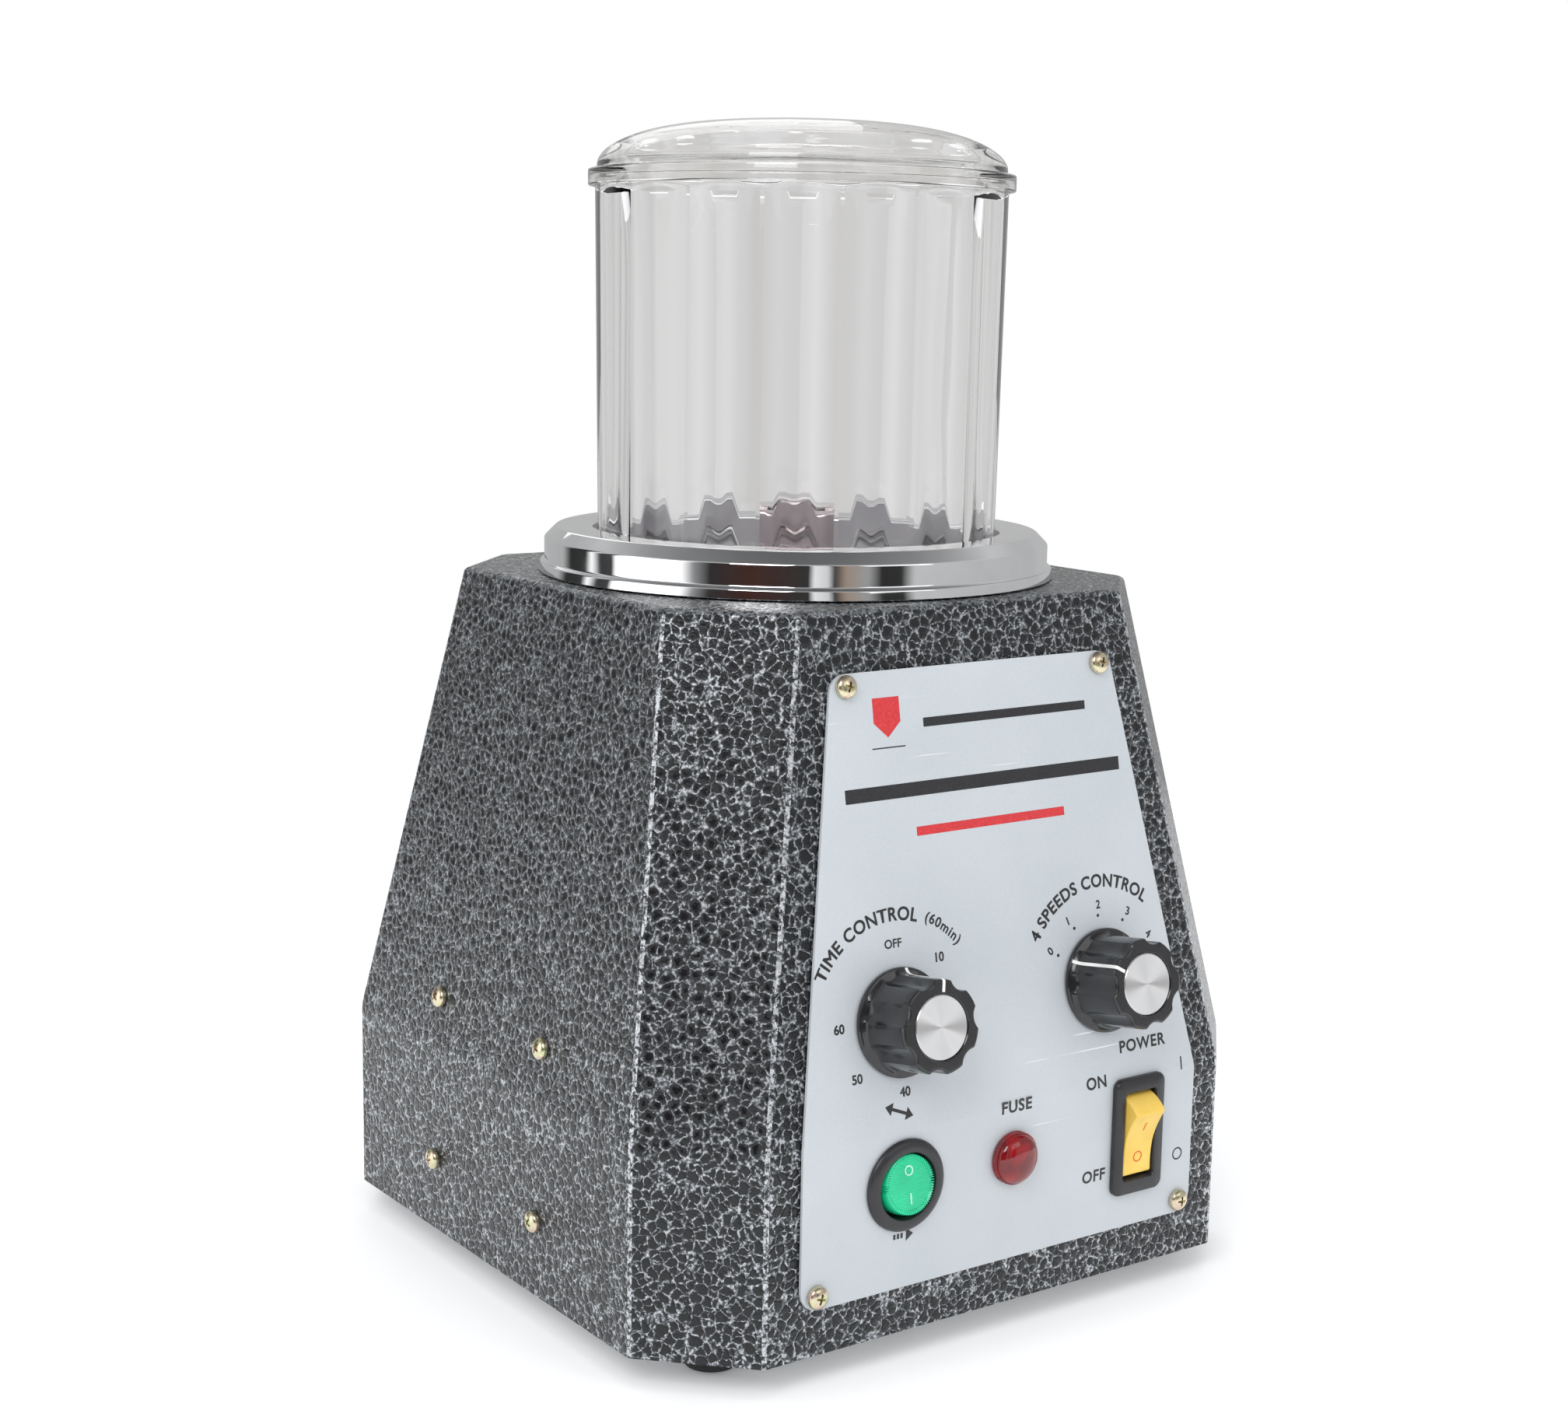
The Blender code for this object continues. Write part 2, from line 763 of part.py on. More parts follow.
def lid():
    """The clear lid: a skirt outside the bowl's rim, a ring inside it and a low dome over them."""
    skirt_bottom = bowl_rim + gap - lid_skirt_height + 0.0018
    deck = skirt_bottom + lid_skirt_height
    dome_top = bowl_rim + gap + lid_dome_height
    wall = lid_wall
    shares = ((1.0, 0.10), (0.933, 0.45), (0.81, 0.70), (0.66, 0.87), (0.36, 0.97), (0.0, 1.0))
    dome_rise = dome_top - deck
    outside = [(lid_dome_radius * r, deck + dome_rise * h) for r, h in reversed(shares)]
    inner_radius = bowl_bore - 0.0008
    inner_rise = dome_rise - wall * 1.1
    inner_low = bowl_rim + gap + wall
    inside = []
    for r, h in shares[1:-1]:
        inside.append((min(inner_radius - 0.0012, lid_dome_radius * r - wall), inner_low + inner_rise * h))
    profile = [
        *outside,
        (lid_dome_radius, deck),
        (lid_radius - 0.0004, deck),
        (lid_radius, deck - 0.0005),
        (lid_radius, skirt_bottom),
        (lid_radius - lid_wall, skirt_bottom),
        (lid_radius - lid_wall, bowl_rim + gap),
        (inner_radius, bowl_rim + gap),
        (inner_radius, bowl_rim - 0.002),
        (inner_radius - 0.0012, bowl_rim - 0.002),
        *inside,
        (0, dome_top - wall),
    ]
    return turned("lid", profile, clear_plastic, at(), wide_steps)


lid()


# ---- Magnet disc, rotor and motor --------------------------------------------------------------------


def magnet_disc():
    """The aluminium disc on the motor's shaft, with a hub below and four pockets for magnets above."""
    hub_bottom = disc_bottom - hub_height
    bore = shaft_radius + gap
    cover = disc_top - 0.002
    profile = [
        (bore, disc_top),
        (disc_radius - 0.0005, disc_top),
        (disc_radius, disc_top - 0.0005),
        (disc_radius, disc_bottom),
        (hub_radius, disc_bottom),
        (hub_radius, hub_bottom),
        (bore, hub_bottom),
    ]
    disc = turned("magnet_disc", profile, aluminium, at(), wide_steps)
    for i in range(4):
        angle = math.pi / 4 + i * math.pi / 2
        place = at(magnet_circle * math.cos(angle), magnet_circle * math.sin(angle))
        pocket_outline = circle(magnet_radius + gap, small_steps)
        pocket_floor = cover + 0.0017 - magnet_height
        name = f"magnet_pocket_{i}"
        pocket = extruded(name, pocket_outline, pocket_floor, disc_top + 0.01, None, place, cutters)
        combine(disc, [pocket])
        low = cover + 0.0020 - magnet_height
        edge = 0.0004
        magnet = [
            (0, low + magnet_height),
            (magnet_radius - edge, low + magnet_height),
            (magnet_radius, low + magnet_height - edge),
            (magnet_radius, low),
            (0, low),
        ]
        turned(f"disc_magnet_{i + 1}", magnet, magnet_nickel, place)
    return disc


magnet_disc()


def rotor():
    """Shaft, armature, commutator and fan, which turn with the magnet disc."""
    shaft_top = disc_top - 0.001
    shaft_bottom = motor_bottom - boss_height + 0.001
    profile = [
        (0, shaft_top),
        (shaft_radius - 0.0005, shaft_top),
        (shaft_radius, shaft_top - 0.0005),
        (shaft_radius, shaft_bottom),
        (0, shaft_bottom),
    ]
    turned("rotor_shaft", profile, bright_steel, at())
    bore = shaft_radius + gap
    low = armature_bottom
    high = low + field_length
    slot = 0.002
    laminations = [
        (bore, high + 0.004),
        (armature_radius * 0.75, high + 0.003),
        (armature_radius * 0.8, high),
        (armature_radius, high),
        (armature_radius, low),
        (armature_radius * 0.8, low),
        (armature_radius * 0.75, low - slot * 0.5),
        (bore, low - slot * 0.5),
    ]
    turned("armature", laminations, copper, at())
    bars = [
        (bore, commutator_bottom + commutator_length),
        (commutator_radius, commutator_bottom + commutator_length),
        (commutator_radius, commutator_bottom),
        (bore, commutator_bottom),
    ]
    turned("commutator", bars, copper, at())
    fan(high + 0.0045)


def fan(low):
    """A small cooling fan: a hub, a disc and straight blades, inside the motor's can."""
    bore = shaft_radius + gap
    radius = armature_radius
    profile = [
        (bore, low + fan_thickness),
        (fan_hub_radius, low + fan_thickness),
        (fan_hub_radius, low + 0.0012),
        (radius, low + 0.0012),
        (radius, low),
        (bore, low),
    ]
    wheel = turned("fan", profile, black_plastic, at())
    for i in range(fan_blades):
        length = radius - fan_hub_radius
        middle = at(fan_hub_radius + length / 2 - 0.0006, 0, low + 0.0006 + (fan_thickness - 0.0008) / 2)
        place = Matrix.Rotation(2 * math.pi * i / fan_blades, 4, "Z") @ middle
        blade = block(f"fan_blade_{i}", (length, 0.0012, fan_thickness - 0.0008), None, place, home=cutters)
        combine(wheel, [blade], "UNION")
    return wheel


rotor()


def ball_bearing(name, low):
    """A small ball bearing, drawn as one ring."""
    profile = [
        (shaft_radius + turning_clearance, low + bearing_width),
        (bearing_radius - 0.0003, low + bearing_width),
        (bearing_radius, low + bearing_width - 0.0003),
        (bearing_radius, low),
        (shaft_radius + turning_clearance, low),
    ]
    return turned(name, profile, bright_steel, at())


def motor():
    """The motor's can, end bell, field magnet, bearings and brushes."""
    outer = motor_radius
    inner = motor_radius - motor_wall
    seat = bearing_radius + gap
    boss_top = shelf_top + boss_height * 0.5
    can = [
        (shaft_radius + 0.001, boss_top),
        (boss_radius, boss_top),
        (boss_radius, motor_top),
        (outer - 0.001, motor_top),
        (outer, motor_top - 0.001),
        (outer, motor_bottom),
        (inner, motor_bottom),
        (inner, motor_top - motor_wall),
        (seat, motor_top - motor_wall),
        (seat, boss_top - 0.001),
        (shaft_radius + 0.001, boss_top - 0.001),
    ]
    body = turned("motor_can", can, zinc_steel, at(), wide_steps)
    ball_bearing("bearing_upper", boss_top - 0.001 - gap - bearing_width)
    bell_inner = inner - gap
    bell_bottom = motor_bottom - boss_height
    bell = [
        (seat, motor_bottom + motor_wall),
        (bell_inner, motor_bottom + motor_wall),
        (bell_inner, motor_bottom),
        (boss_radius, motor_bottom),
        (boss_radius, bell_bottom),
        (shaft_radius + 0.001, bell_bottom),
        (shaft_radius + 0.001, bell_bottom + 0.001),
        (seat, bell_bottom + 0.001),
    ]
    turned("motor_end_bell", bell, zinc_steel, at(), wide_steps)
    ball_bearing("bearing_lower", bell_bottom + 0.001 + gap)
    field_outer = inner - gap
    field = [
        (field_outer - field_thickness, armature_bottom + field_length),
        (field_outer, armature_bottom + field_length),
        (field_outer, armature_bottom),
        (field_outer - field_thickness, armature_bottom),
    ]
    turned("field_magnet", field, ferrite, at(), wide_steps)
    for name, side in (("brush_left", -1), ("brush_right", 1)):
        length = inner - gap - commutator_radius - turning_clearance
        x = side * (commutator_radius + turning_clearance + length / 2)
        z = commutator_bottom + commutator_length / 2
        block(name, (length, brush_width, brush_width * 1.5), carbon, at(x, 0, z))
    for name, side in (("motor_screw_left", -1), ("motor_screw_right", 1)):
        x = side * motor_screw_circle
        pan_screw(name, at(x, 0, shelf_top + gap))
        low = motor_top - motor_wall - 0.001
        outline = circle(screw_radius + hole_clearance, screw_steps)
        hole = extruded(name + "_hole", outline, low, shelf_top + 0.001, None, at(x), cutters)
        combine(body, [hole])
        bracket_holes.append(hole)


bracket_holes = []
motor()


def motor_bracket():
    """A bridge of folded steel: a shelf for the motor, two legs, and ears screwed to the side walls."""
    ear_inside = sheet + gap + bracket_sheet
    ear_low = upper_screw_height - ear_height / 2
    ear_high = upper_screw_height + ear_height / 2
    ear_bottom = side_frames["right"][1] @ Vector((0, ear_low, -ear_inside))
    ear_top = side_frames["right"][1] @ Vector((0, ear_high, -ear_inside))
    leg = motor_radius + bracket_side_gap + bracket_sheet
    half = [
        (ear_top.x, ear_top.z),
        (ear_bottom.x, ear_bottom.z),
        (leg, ear_bottom.z),
        (leg, shelf_top),
    ]
    path = half + [(-x, z) for x, z in reversed(half)]
    shape = bmesh.new()
    rails = [[shape.verts.new((x, y, z)) for x, z in path] for y in (-bracket_width / 2, bracket_width / 2)]
    for i in range(len(path) - 1):
        shape.faces.new((rails[0][i], rails[0][i + 1], rails[1][i + 1], rails[1][i]))
    mesh = bpy.data.meshes.new("motor_bracket")
    shape.to_mesh(mesh)
    shape.free()
    bracket = place_object("motor_bracket", mesh, zinc_steel, at())
    thickness = bracket.modifiers.new("sheet", "SOLIDIFY")
    thickness.thickness = bracket_sheet
    thickness.offset = 1
    thickness.use_even_offset = True
    outline = circle(boss_radius + hole_clearance, wide_steps)
    boss_hole = extruded("boss_hole", outline, motor_top, shelf_top + 0.01, None, at(), cutters)
    combine(bracket, [boss_hole, *bracket_holes])
    combine(bracket, [hole for row, hole in side_hole_cutters if row == "upper"])
    return bracket


motor_bracket()


# ---- Knobs, timer and speed switch -------------------------------------------------------------------


def fluted_outline():
    """A knob's outline: round lobes with a shallow concave flute between each pair."""
    flute_centre = knob_radius - flute_depth + flute_radius
    points = []
    per_lobe = 10
    for i in range(knob_lobes * per_lobe):
        angle = 2 * math.pi * i / (knob_lobes * per_lobe)
        pitch = 2 * math.pi / knob_lobes
        off = (angle + pitch / 2) % pitch - pitch / 2
        reach = knob_radius
        if abs(flute_centre * math.sin(off)) < flute_radius:
            dip = math.sqrt(flute_radius**2 - (flute_centre * math.sin(off)) ** 2)
            near = flute_centre * math.cos(off) - dip
            reach = min(reach, near)
        points.append((reach * math.cos(angle), reach * math.sin(angle)))
    return points


def knob(name, frame, turn):
    """A fluted knob with a flared skirt, a cap let into its face, and a hollow underneath over the nut."""
    low = plate_face + knob_standoff
    high = low + knob_height
    flute_phase = math.pi / 2 + math.pi / knob_lobes
    place = frame @ Matrix.Rotation(turn + flute_phase, 4, "Z")
    body = extruded(name, fluted_outline(), low + 0.001, high, black_plastic, place)
    skirt = [
        (0, low + knob_skirt_height),
        (knob_radius - 0.0016, low + knob_skirt_height),
        (knob_skirt_radius - 0.0006, low + 0.0016),
        (knob_skirt_radius, low + 0.0011),
        (knob_skirt_radius, low),
        (0, low),
    ]
    combine(body, [turned(name + "_skirt", skirt, None, frame, small_steps, cutters)], "UNION")
    nut_space = nut_radius + 0.0008
    nut_room = rest_on_plate + nut_height + 0.0014
    shaft_hole = control_shaft_radius + gap
    shaft_end = high - knob_cap_thickness - 0.0025
    hollow = [
        (0, shaft_end),
        (shaft_hole, shaft_end),
        (shaft_hole, nut_room),
        (nut_space, nut_room),
        (nut_space, low - 0.001),
        (0, low - 0.001),
    ]
    recess = [
        (0, high + 0.001),
        (knob_cap_radius + gap, high + 0.001),
        (knob_cap_radius + gap, high - knob_cap_thickness - gap),
        (0, high - knob_cap_thickness - gap),
    ]
    combine(body, [turned(name + "_hollow", hollow, None, frame, small_steps, cutters)])
    combine(body, [turned(name + "_recess", recess, None, frame, small_steps, cutters)])
    cap = [
        (0, high),
        (knob_cap_radius - 0.0002, high),
        (knob_cap_radius, high - 0.0002),
        (knob_cap_radius, high - knob_cap_thickness),
        (0, high - knob_cap_thickness),
    ]
    turned(name + "_cap", cap, aluminium, frame)
    shaft_low = -sheet - gap - 0.006
    shaft_high = shaft_end - gap
    radius = control_shaft_radius
    shaft = [(0, shaft_high), (radius, shaft_high), (radius, shaft_low), (0, shaft_low)]
    turned(name.replace("knob", "shaft"), shaft, bright_steel, frame)


def control_bore():
    """The blind bore that a control's shaft turns in, cut from the control's body and its bush."""
    low = -sheet - gap - 0.006 - gap
    radius = control_shaft_radius + turning_clearance
    return [(0, 0.01), (radius, 0.01), (radius, low), (0, low)]


bush_top = rest_on_plate + nut_height + 0.0006


def panel_nut(name, frame):
    """The hexagon nut under a knob, which clamps its control to the plate."""
    nut = extruded(name, circle(nut_radius, 6), rest_on_plate, rest_on_plate + nut_height, zinc_steel, frame)
    bore = extruded(name + "_bore", circle(bush_radius + gap, small_steps), 0, 0.01, None, frame, cutters)
    combine(nut, [bore])


def timer():
    """The clockwork timer: a square case behind the plate, its bush through it, and the left-hand knob."""
    frame = front_upper @ at(-(plate_half - timer_inset), timer_height)
    width, height, depth = timer_size
    front = -sheet - gap
    body = block("timer_body", timer_size, zinc_steel, frame @ at(0, 0, front - depth / 2), 0.001)
    bush = [(0, bush_top), (bush_radius, bush_top), (bush_radius, front - 0.001), (0, front - 0.001)]
    combine(body, [turned("timer_bush", bush, None, frame, small_steps, cutters)], "UNION")
    combine(body, [turned("timer_bore", control_bore(), None, frame, small_steps, cutters)])
    panel_hole("timer_hole", circle(bush_radius + hole_clearance, small_steps), frame)
    panel_nut("timer_nut", frame)
    knob("timer_knob", frame, timer_rest_turn)


def speed_switch():
    """The five-position rotary switch and the right-hand knob."""
    frame = front_upper @ at(plate_half - speed_inset, speed_height)
    front = -sheet - gap
    profile = [
        (0, bush_top),
        (bush_radius, bush_top),
        (bush_radius, front),
        (speed_body_radius, front),
        (speed_body_radius, front - speed_body_depth),
        (0, front - speed_body_depth),
    ]
    body = turned("speed_switch_body", profile, black_plastic, frame)
    combine(body, [turned("speed_bore", control_bore(), None, frame, small_steps, cutters)])
    panel_hole("speed_hole", circle(bush_radius + hole_clearance, small_steps), frame)
    panel_nut("speed_nut", frame)
    knob("speed_knob", frame, speed_rest_turn)


timer()
speed_switch()


# ---- Rocker switches ---------------------------------------------------------------------------------


def rocker_section(reach, spread, dish, depth):
    """A rocker's side outline about its pivot: two round ends and a face that dips in the middle."""
    steps = 4
    tip = (reach * math.sin(spread), reach * math.cos(spread))
    foot_angle = math.pi / 2 + math.asin(min(0.9, depth / reach)) * 0.5
    right = []
    for i in range(steps + 1):
        angle = spread + (foot_angle - spread) * i / steps
        right.append((reach * math.sin(angle), reach * math.cos(angle)))
    dip = (0.0, tip[1] - dish)
    bottom = [(reach * 0.35, -depth), (-reach * 0.35, -depth)]
    left = [(-x, y) for x, y in reversed(right)]
    clockwise = [dip] + right + bottom + left
    return list(reversed(clockwise))


def power_switch():
    """The power switch: a black case snapped into the plate, and the yellow rocker on its two stub pivots."""
    frame = front_lower @ at(plate_half - power_inset, power_height)
    width, height, depth = power_body
    case_back = -depth
    outline = rounded_box(power_bezel[0] / 2, power_bezel[1] / 2, 0.0022)
    bezel_top = rest_on_plate + bezel_thickness
    case = extruded("power_switch_body", outline, rest_on_plate, bezel_top, black_plastic, frame)
    body_middle = at(0, 0, (case_back + rest_on_plate + 0.0008) / 2)
    body_size = (width, height, rest_on_plate + 0.0008 - case_back)
    combine(case, [block("power_case", body_size, None, frame @ body_middle, home=cutters)], "UNION")
    pocket_floor = -pivot_depth - rocker_depth - 0.0015
    pocket_outline = rounded_box(power_opening[0] / 2, power_opening[1] / 2, 0.0008, 2)
    pocket = extruded("power_pocket", pocket_outline, pocket_floor, 0.01, None, frame, cutters)
    half_width = power_opening[0] / 2 - side_clearance
    socket_half = power_opening[0] / 2 + pivot_length
    across = frame @ at(0, 0, -pivot_depth) @ Matrix.Rotation(math.pi / 2, 4, "Y")
    socket = circle(pivot_radius + turning_clearance, 12)
    sockets = extruded("power_pivot_sockets", socket, -socket_half, socket_half, None, across, cutters)
    combine(case, [pocket, sockets])
    hole_outline = rounded_box(width / 2 + hole_clearance, height / 2 + hole_clearance, 0.0005, 1)
    panel_hole("power_hole", hole_outline, frame)
    section = rocker_section(rocker_reach, rocker_spread, rocker_dish, rocker_depth)
    side_on = frame @ at(0, 0, -pivot_depth) @ Matrix.Rotation(rocker_tilt, 4, "X") @ rocker_axes()
    rocker = extruded("power_rocker", section, -half_width, half_width, yellow_plastic, side_on)
    pin_half = half_width + pivot_length
    pins = extruded("power_pins", circle(pivot_radius, 12), -pin_half, pin_half, None, side_on, cutters)
    combine(rocker, [pins], "UNION")


def rocker_axes():
    """Turns a section drawn as (up, out) and extruded along Z so that it lies across the switch."""
    return Matrix(((0, 0, 1, 0), (1, 0, 0, 0), (0, 1, 0, 0), (0, 0, 0, 1)))


def direction_switch():
    """The round direction switch: a black case with a round bezel, and the green rocker in it."""
    frame = front_lower @ at(-(plate_half - direction_inset), direction_height_up)
    back = -direction_body_depth
    pocket_floor = -direction_ball_radius - 0.0012
    profile = [
        (direction_opening_radius, rest_on_plate + bezel_thickness),
        (direction_bezel_radius - 0.0008, rest_on_plate + bezel_thickness),
        (direction_bezel_radius, rest_on_plate + bezel_thickness * 0.4),
        (direction_bezel_radius, rest_on_plate),
        (direction_body_radius, rest_on_plate),
        (direction_body_radius, back),
        (0, back),
        (0, pocket_floor),
        (direction_opening_radius, pocket_floor),
    ]
    case = turned_open("direction_switch_body", profile, black_plastic, frame, wide_steps)
    hole = circle(direction_body_radius + hole_clearance, small_steps)
    panel_hole("direction_hole", hole, frame)
    centre = frame @ at(0, 0, -direction_pivot_depth) @ Matrix.Rotation(-direction_tilt, 4, "X")
    ball = direction_ball_radius
    half = math.pi / 2
    arc = [half - math.pi * i / 10 for i in range(11)]
    round_side = [(ball * math.cos(a), ball * math.sin(a)) for a in arc]
    rocker = turned("direction_rocker", clean_axis(round_side), green_plastic, centre, small_steps)
    reach = direction_rocker_radius
    tip = direction_height
    section = [
        (-2 * reach, -reach * 0.62),
        (2 * reach, -reach * 0.62),
        (2 * reach, tip + direction_dish * 2),
        (0, tip - direction_dish),
        (-2 * reach, tip + direction_dish * 2),
    ]
    face = extruded("direction_face", section, -2 * reach, 2 * reach, None, centre @ rocker_axes(), cutters)
    combine(rocker, [face], "INTERSECT")
    return case


def clean_axis(profile):
    """The profile with its first and last points put exactly on the axis."""
    return [(0, profile[0][1]), *profile[1:-1], (0, profile[-1][1])]


def turned_open(name, profile, material, place, steps):
    """A turned piece whose profile meets the axis in its middle, not at its ends."""
    start = next(i for i, (radius, _) in enumerate(profile) if radius == 0)
    return turned(name, profile[start + 1 :] + profile[: start + 1], material, place, steps)


power_switch()
direction_switch()


# ---- Fuse --------------------------------------------------------------------------------------------


def fuse():
    """The fuse holder through the plate, the glass fuse in it, and the red cap that grips the fuse's end."""
    frame = front_lower @ at(fuse_x, fuse_height)
    flange_top_out = rest_on_plate + fuse_flange_thickness
    back = -fuse_holder_depth
    bore_floor = back + 0.002
    holder = [
        (0, bore_floor),
        (fuse_bore, bore_floor),
        (fuse_bore, flange_top_out),
        (fuse_flange_radius, flange_top_out),
        (fuse_flange_radius, rest_on_plate),
        (fuse_tube_radius, rest_on_plate),
        (fuse_tube_radius, back),
        (0, back),
    ]
    turned("fuse_holder", holder, black_plastic, frame)
    panel_hole("fuse_hole", circle(fuse_tube_radius + hole_clearance, small_steps), frame)
    low = plate_face + gap
    rim_top = low + fuse_cap_rim
    dome_top = rim_top + fuse_cap_dome
    dome = []
    for i in range(6):
        angle = math.pi / 2 * (1 - i / 6)
        dome.append(((fuse_cap_radius - 0.0003) * math.cos(angle), rim_top + fuse_cap_dome * math.sin(angle)))
    dome[0] = (0, dome_top)
    recess_top = flange_top_out + gap
    stem_low = recess_top - fuse_stem_length
    fuse_end = stem_low + fuse_grip
    inner = fuse_radius + gap
    cap = [
        *dome,
        (fuse_cap_radius, rim_top),
        (fuse_cap_radius, low),
        (fuse_cap_radius - fuse_cap_wall, low),
        (fuse_cap_radius - fuse_cap_wall, recess_top),
        (fuse_stem_radius, recess_top),
        (fuse_stem_radius, stem_low),
        (inner, stem_low),
        (inner, fuse_end + gap),
        (0, fuse_end + gap),
    ]
    turned("fuse_cap", cap, red_plastic, frame)
    tail = fuse_end - fuse_length
    tube = [(0, fuse_end), (fuse_radius, fuse_end), (fuse_radius, tail), (0, tail)]
    turned("glass_fuse", tube, glass, frame)


fuse()


# ---- Mains inlet and control board -------------------------------------------------------------------


def mains_inlet():
    """The three-pin mains inlet, snapped into the rear wall."""
    frame = rear_lower @ at(0, foot_height + inlet_height)
    width, height, thickness = inlet_flange
    outline = rounded_box(width / 2, height / 2, 0.0015)
    inlet = extruded("mains_inlet", outline, gap, gap + thickness, black_plastic, frame)
    body_width, body_height_up, depth = inlet_body
    case_outline = rounded_box(body_width / 2, body_height_up / 2, 0.001, 1)
    inlet_case = extruded("inlet_case", case_outline, -depth, gap + 0.001, None, frame, cutters)
    socket_width, socket_height, socket_depth = inlet_socket
    cut = 0.0045
    half_x = socket_width / 2
    half_y = socket_height / 2
    socket_outline = [
        (-half_x, -half_y),
        (half_x, -half_y),
        (half_x, half_y - cut),
        (half_x - cut, half_y),
        (cut - half_x, half_y),
        (-half_x, half_y - cut),
    ]
    floor = gap + thickness - socket_depth
    socket = extruded("inlet_socket", socket_outline, floor, 0.01, None, frame, cutters)
    combine(inlet, [inlet_case], "UNION")
    combine(inlet, [socket])
    pin_width, pin_thickness, pin_length = inlet_pin
    spread = inlet_pin_spread
    drop = inlet_pin_drop
    for i, (x, y) in enumerate(((-spread, -drop), (0, drop), (spread, -drop))):
        place = frame @ at(x, y, floor - 0.0005 + pin_length / 2)
        pin = block(f"inlet_pin_{i}", (pin_thickness, pin_width, pin_length), None, place, home=cutters)
        combine(inlet, [pin], "UNION")
    hole = rounded_box(body_width / 2 + hole_clearance, body_height_up / 2 + hole_clearance, 0.0005, 1)
    extruded("inlet_hole", hole, -0.004, 0.004, None, frame, housing_cutters)


mains_inlet()


def control_board():
    """The speed control's circuit board on the base plate's four posts, with its larger components."""
    low = foot_height + base_sheet + board_post_height + gap
    middle = base_depth / 2 - board_back_gap - board_size[1] / 2
    board = block("control_board", board_size, board_green, at(0, middle, low + board_size[2] / 2))
    components = (
        ("relay", (0.019, 0.015, 0.015), (-0.028, 0.006)),
        ("heat_sink", (0.024, 0.010, 0.020), (0.002, -0.010)),
        ("choke", (0.014, 0.014, 0.010), (0.030, 0.004)),
        ("capacitor", (0.010, 0.010, 0.016), (0.012, 0.011)),
    )
    for name, size, (x, y) in components:
        place = at(x, middle + y, low + board_size[2] + size[2] / 2 - 0.0003)
        combine(board, [block(name, size, None, place, home=cutters)], "UNION")


control_board()
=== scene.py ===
"""The finished look of a bench-top magnetic tumbler, in metres with +Z up and the front facing -Y.

The file follows the machine as it is put together: housing, base, control plate, screws, controls, fuse,
bowl seat, bowl and lid, mains inlet, then what is inside, and last the floor, the lights and the camera.
"""

import json
import math

import bmesh
import bpy
from mathutils import Matrix, Vector


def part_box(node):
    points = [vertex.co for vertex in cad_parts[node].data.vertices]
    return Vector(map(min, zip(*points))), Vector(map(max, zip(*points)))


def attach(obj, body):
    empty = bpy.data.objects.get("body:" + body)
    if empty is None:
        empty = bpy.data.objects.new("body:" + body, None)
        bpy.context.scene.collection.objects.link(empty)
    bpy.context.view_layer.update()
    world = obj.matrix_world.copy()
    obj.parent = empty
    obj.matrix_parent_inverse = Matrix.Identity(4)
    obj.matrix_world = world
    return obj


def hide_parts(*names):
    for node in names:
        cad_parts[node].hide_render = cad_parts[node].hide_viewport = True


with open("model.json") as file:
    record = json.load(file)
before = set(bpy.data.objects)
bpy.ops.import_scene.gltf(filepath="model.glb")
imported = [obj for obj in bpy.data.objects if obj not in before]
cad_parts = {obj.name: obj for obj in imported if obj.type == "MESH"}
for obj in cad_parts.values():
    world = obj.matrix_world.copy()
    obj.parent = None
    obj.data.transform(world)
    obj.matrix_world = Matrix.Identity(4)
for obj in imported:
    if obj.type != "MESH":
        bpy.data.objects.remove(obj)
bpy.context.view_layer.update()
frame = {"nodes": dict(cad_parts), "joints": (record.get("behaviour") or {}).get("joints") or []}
nodes = frame["nodes"]
joints = {joint["name"]: joint for joint in frame["joints"]}


# ---- Housing -----------------------------------------------------------------------------------------
# Folded sheet steel, 1.2 mm: an upright skirt with cut corners, four walls that lean in, and a flat top.
# It is sprayed with a black and silver hammered enamel, painted lighter and more silver along the folds
# as a painted highlight.

shell_low, shell_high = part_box("housing_shell")
axis_y = (shell_low.y + shell_high.y) / 2
foot_height = shell_low.z
waist = foot_height + 0.051
top = shell_high.z
base_half = Vector(((shell_high.x - shell_low.x) / 2, (shell_high.y - shell_low.y) / 2))
top_half = Vector((0.0735, 0.07215))
corner_cut = 0.023
sheet = 0.0012
top_fold = 0.0017
corner_fold = 0.0024
waist_fold = 0.014
seat_hole = 0.0565

outward = -Vector(joints["timer_turn"]["axis"])


def wall(middle, out):
    """A frame on a wall: X across it, Y up it and Z out of it."""
    out = Vector(out).normalized()
    sideways = Vector((0, 0, 1)).cross(out).normalized()
    up = out.cross(sideways)
    turned_to = Matrix((sideways, up, out)).transposed().to_4x4()
    return Matrix.Translation(Vector(middle)) @ turned_to


front_skirt = wall((0, shell_low.y, waist), (0, -1, 0))
front_wall = wall((0, shell_low.y, waist), outward)


def at(x=0.0, y=0.0, z=0.0):
    return Matrix.Translation(Vector((x, y, z)))


def mix(a, b, share):
    return a + (b - a) * share


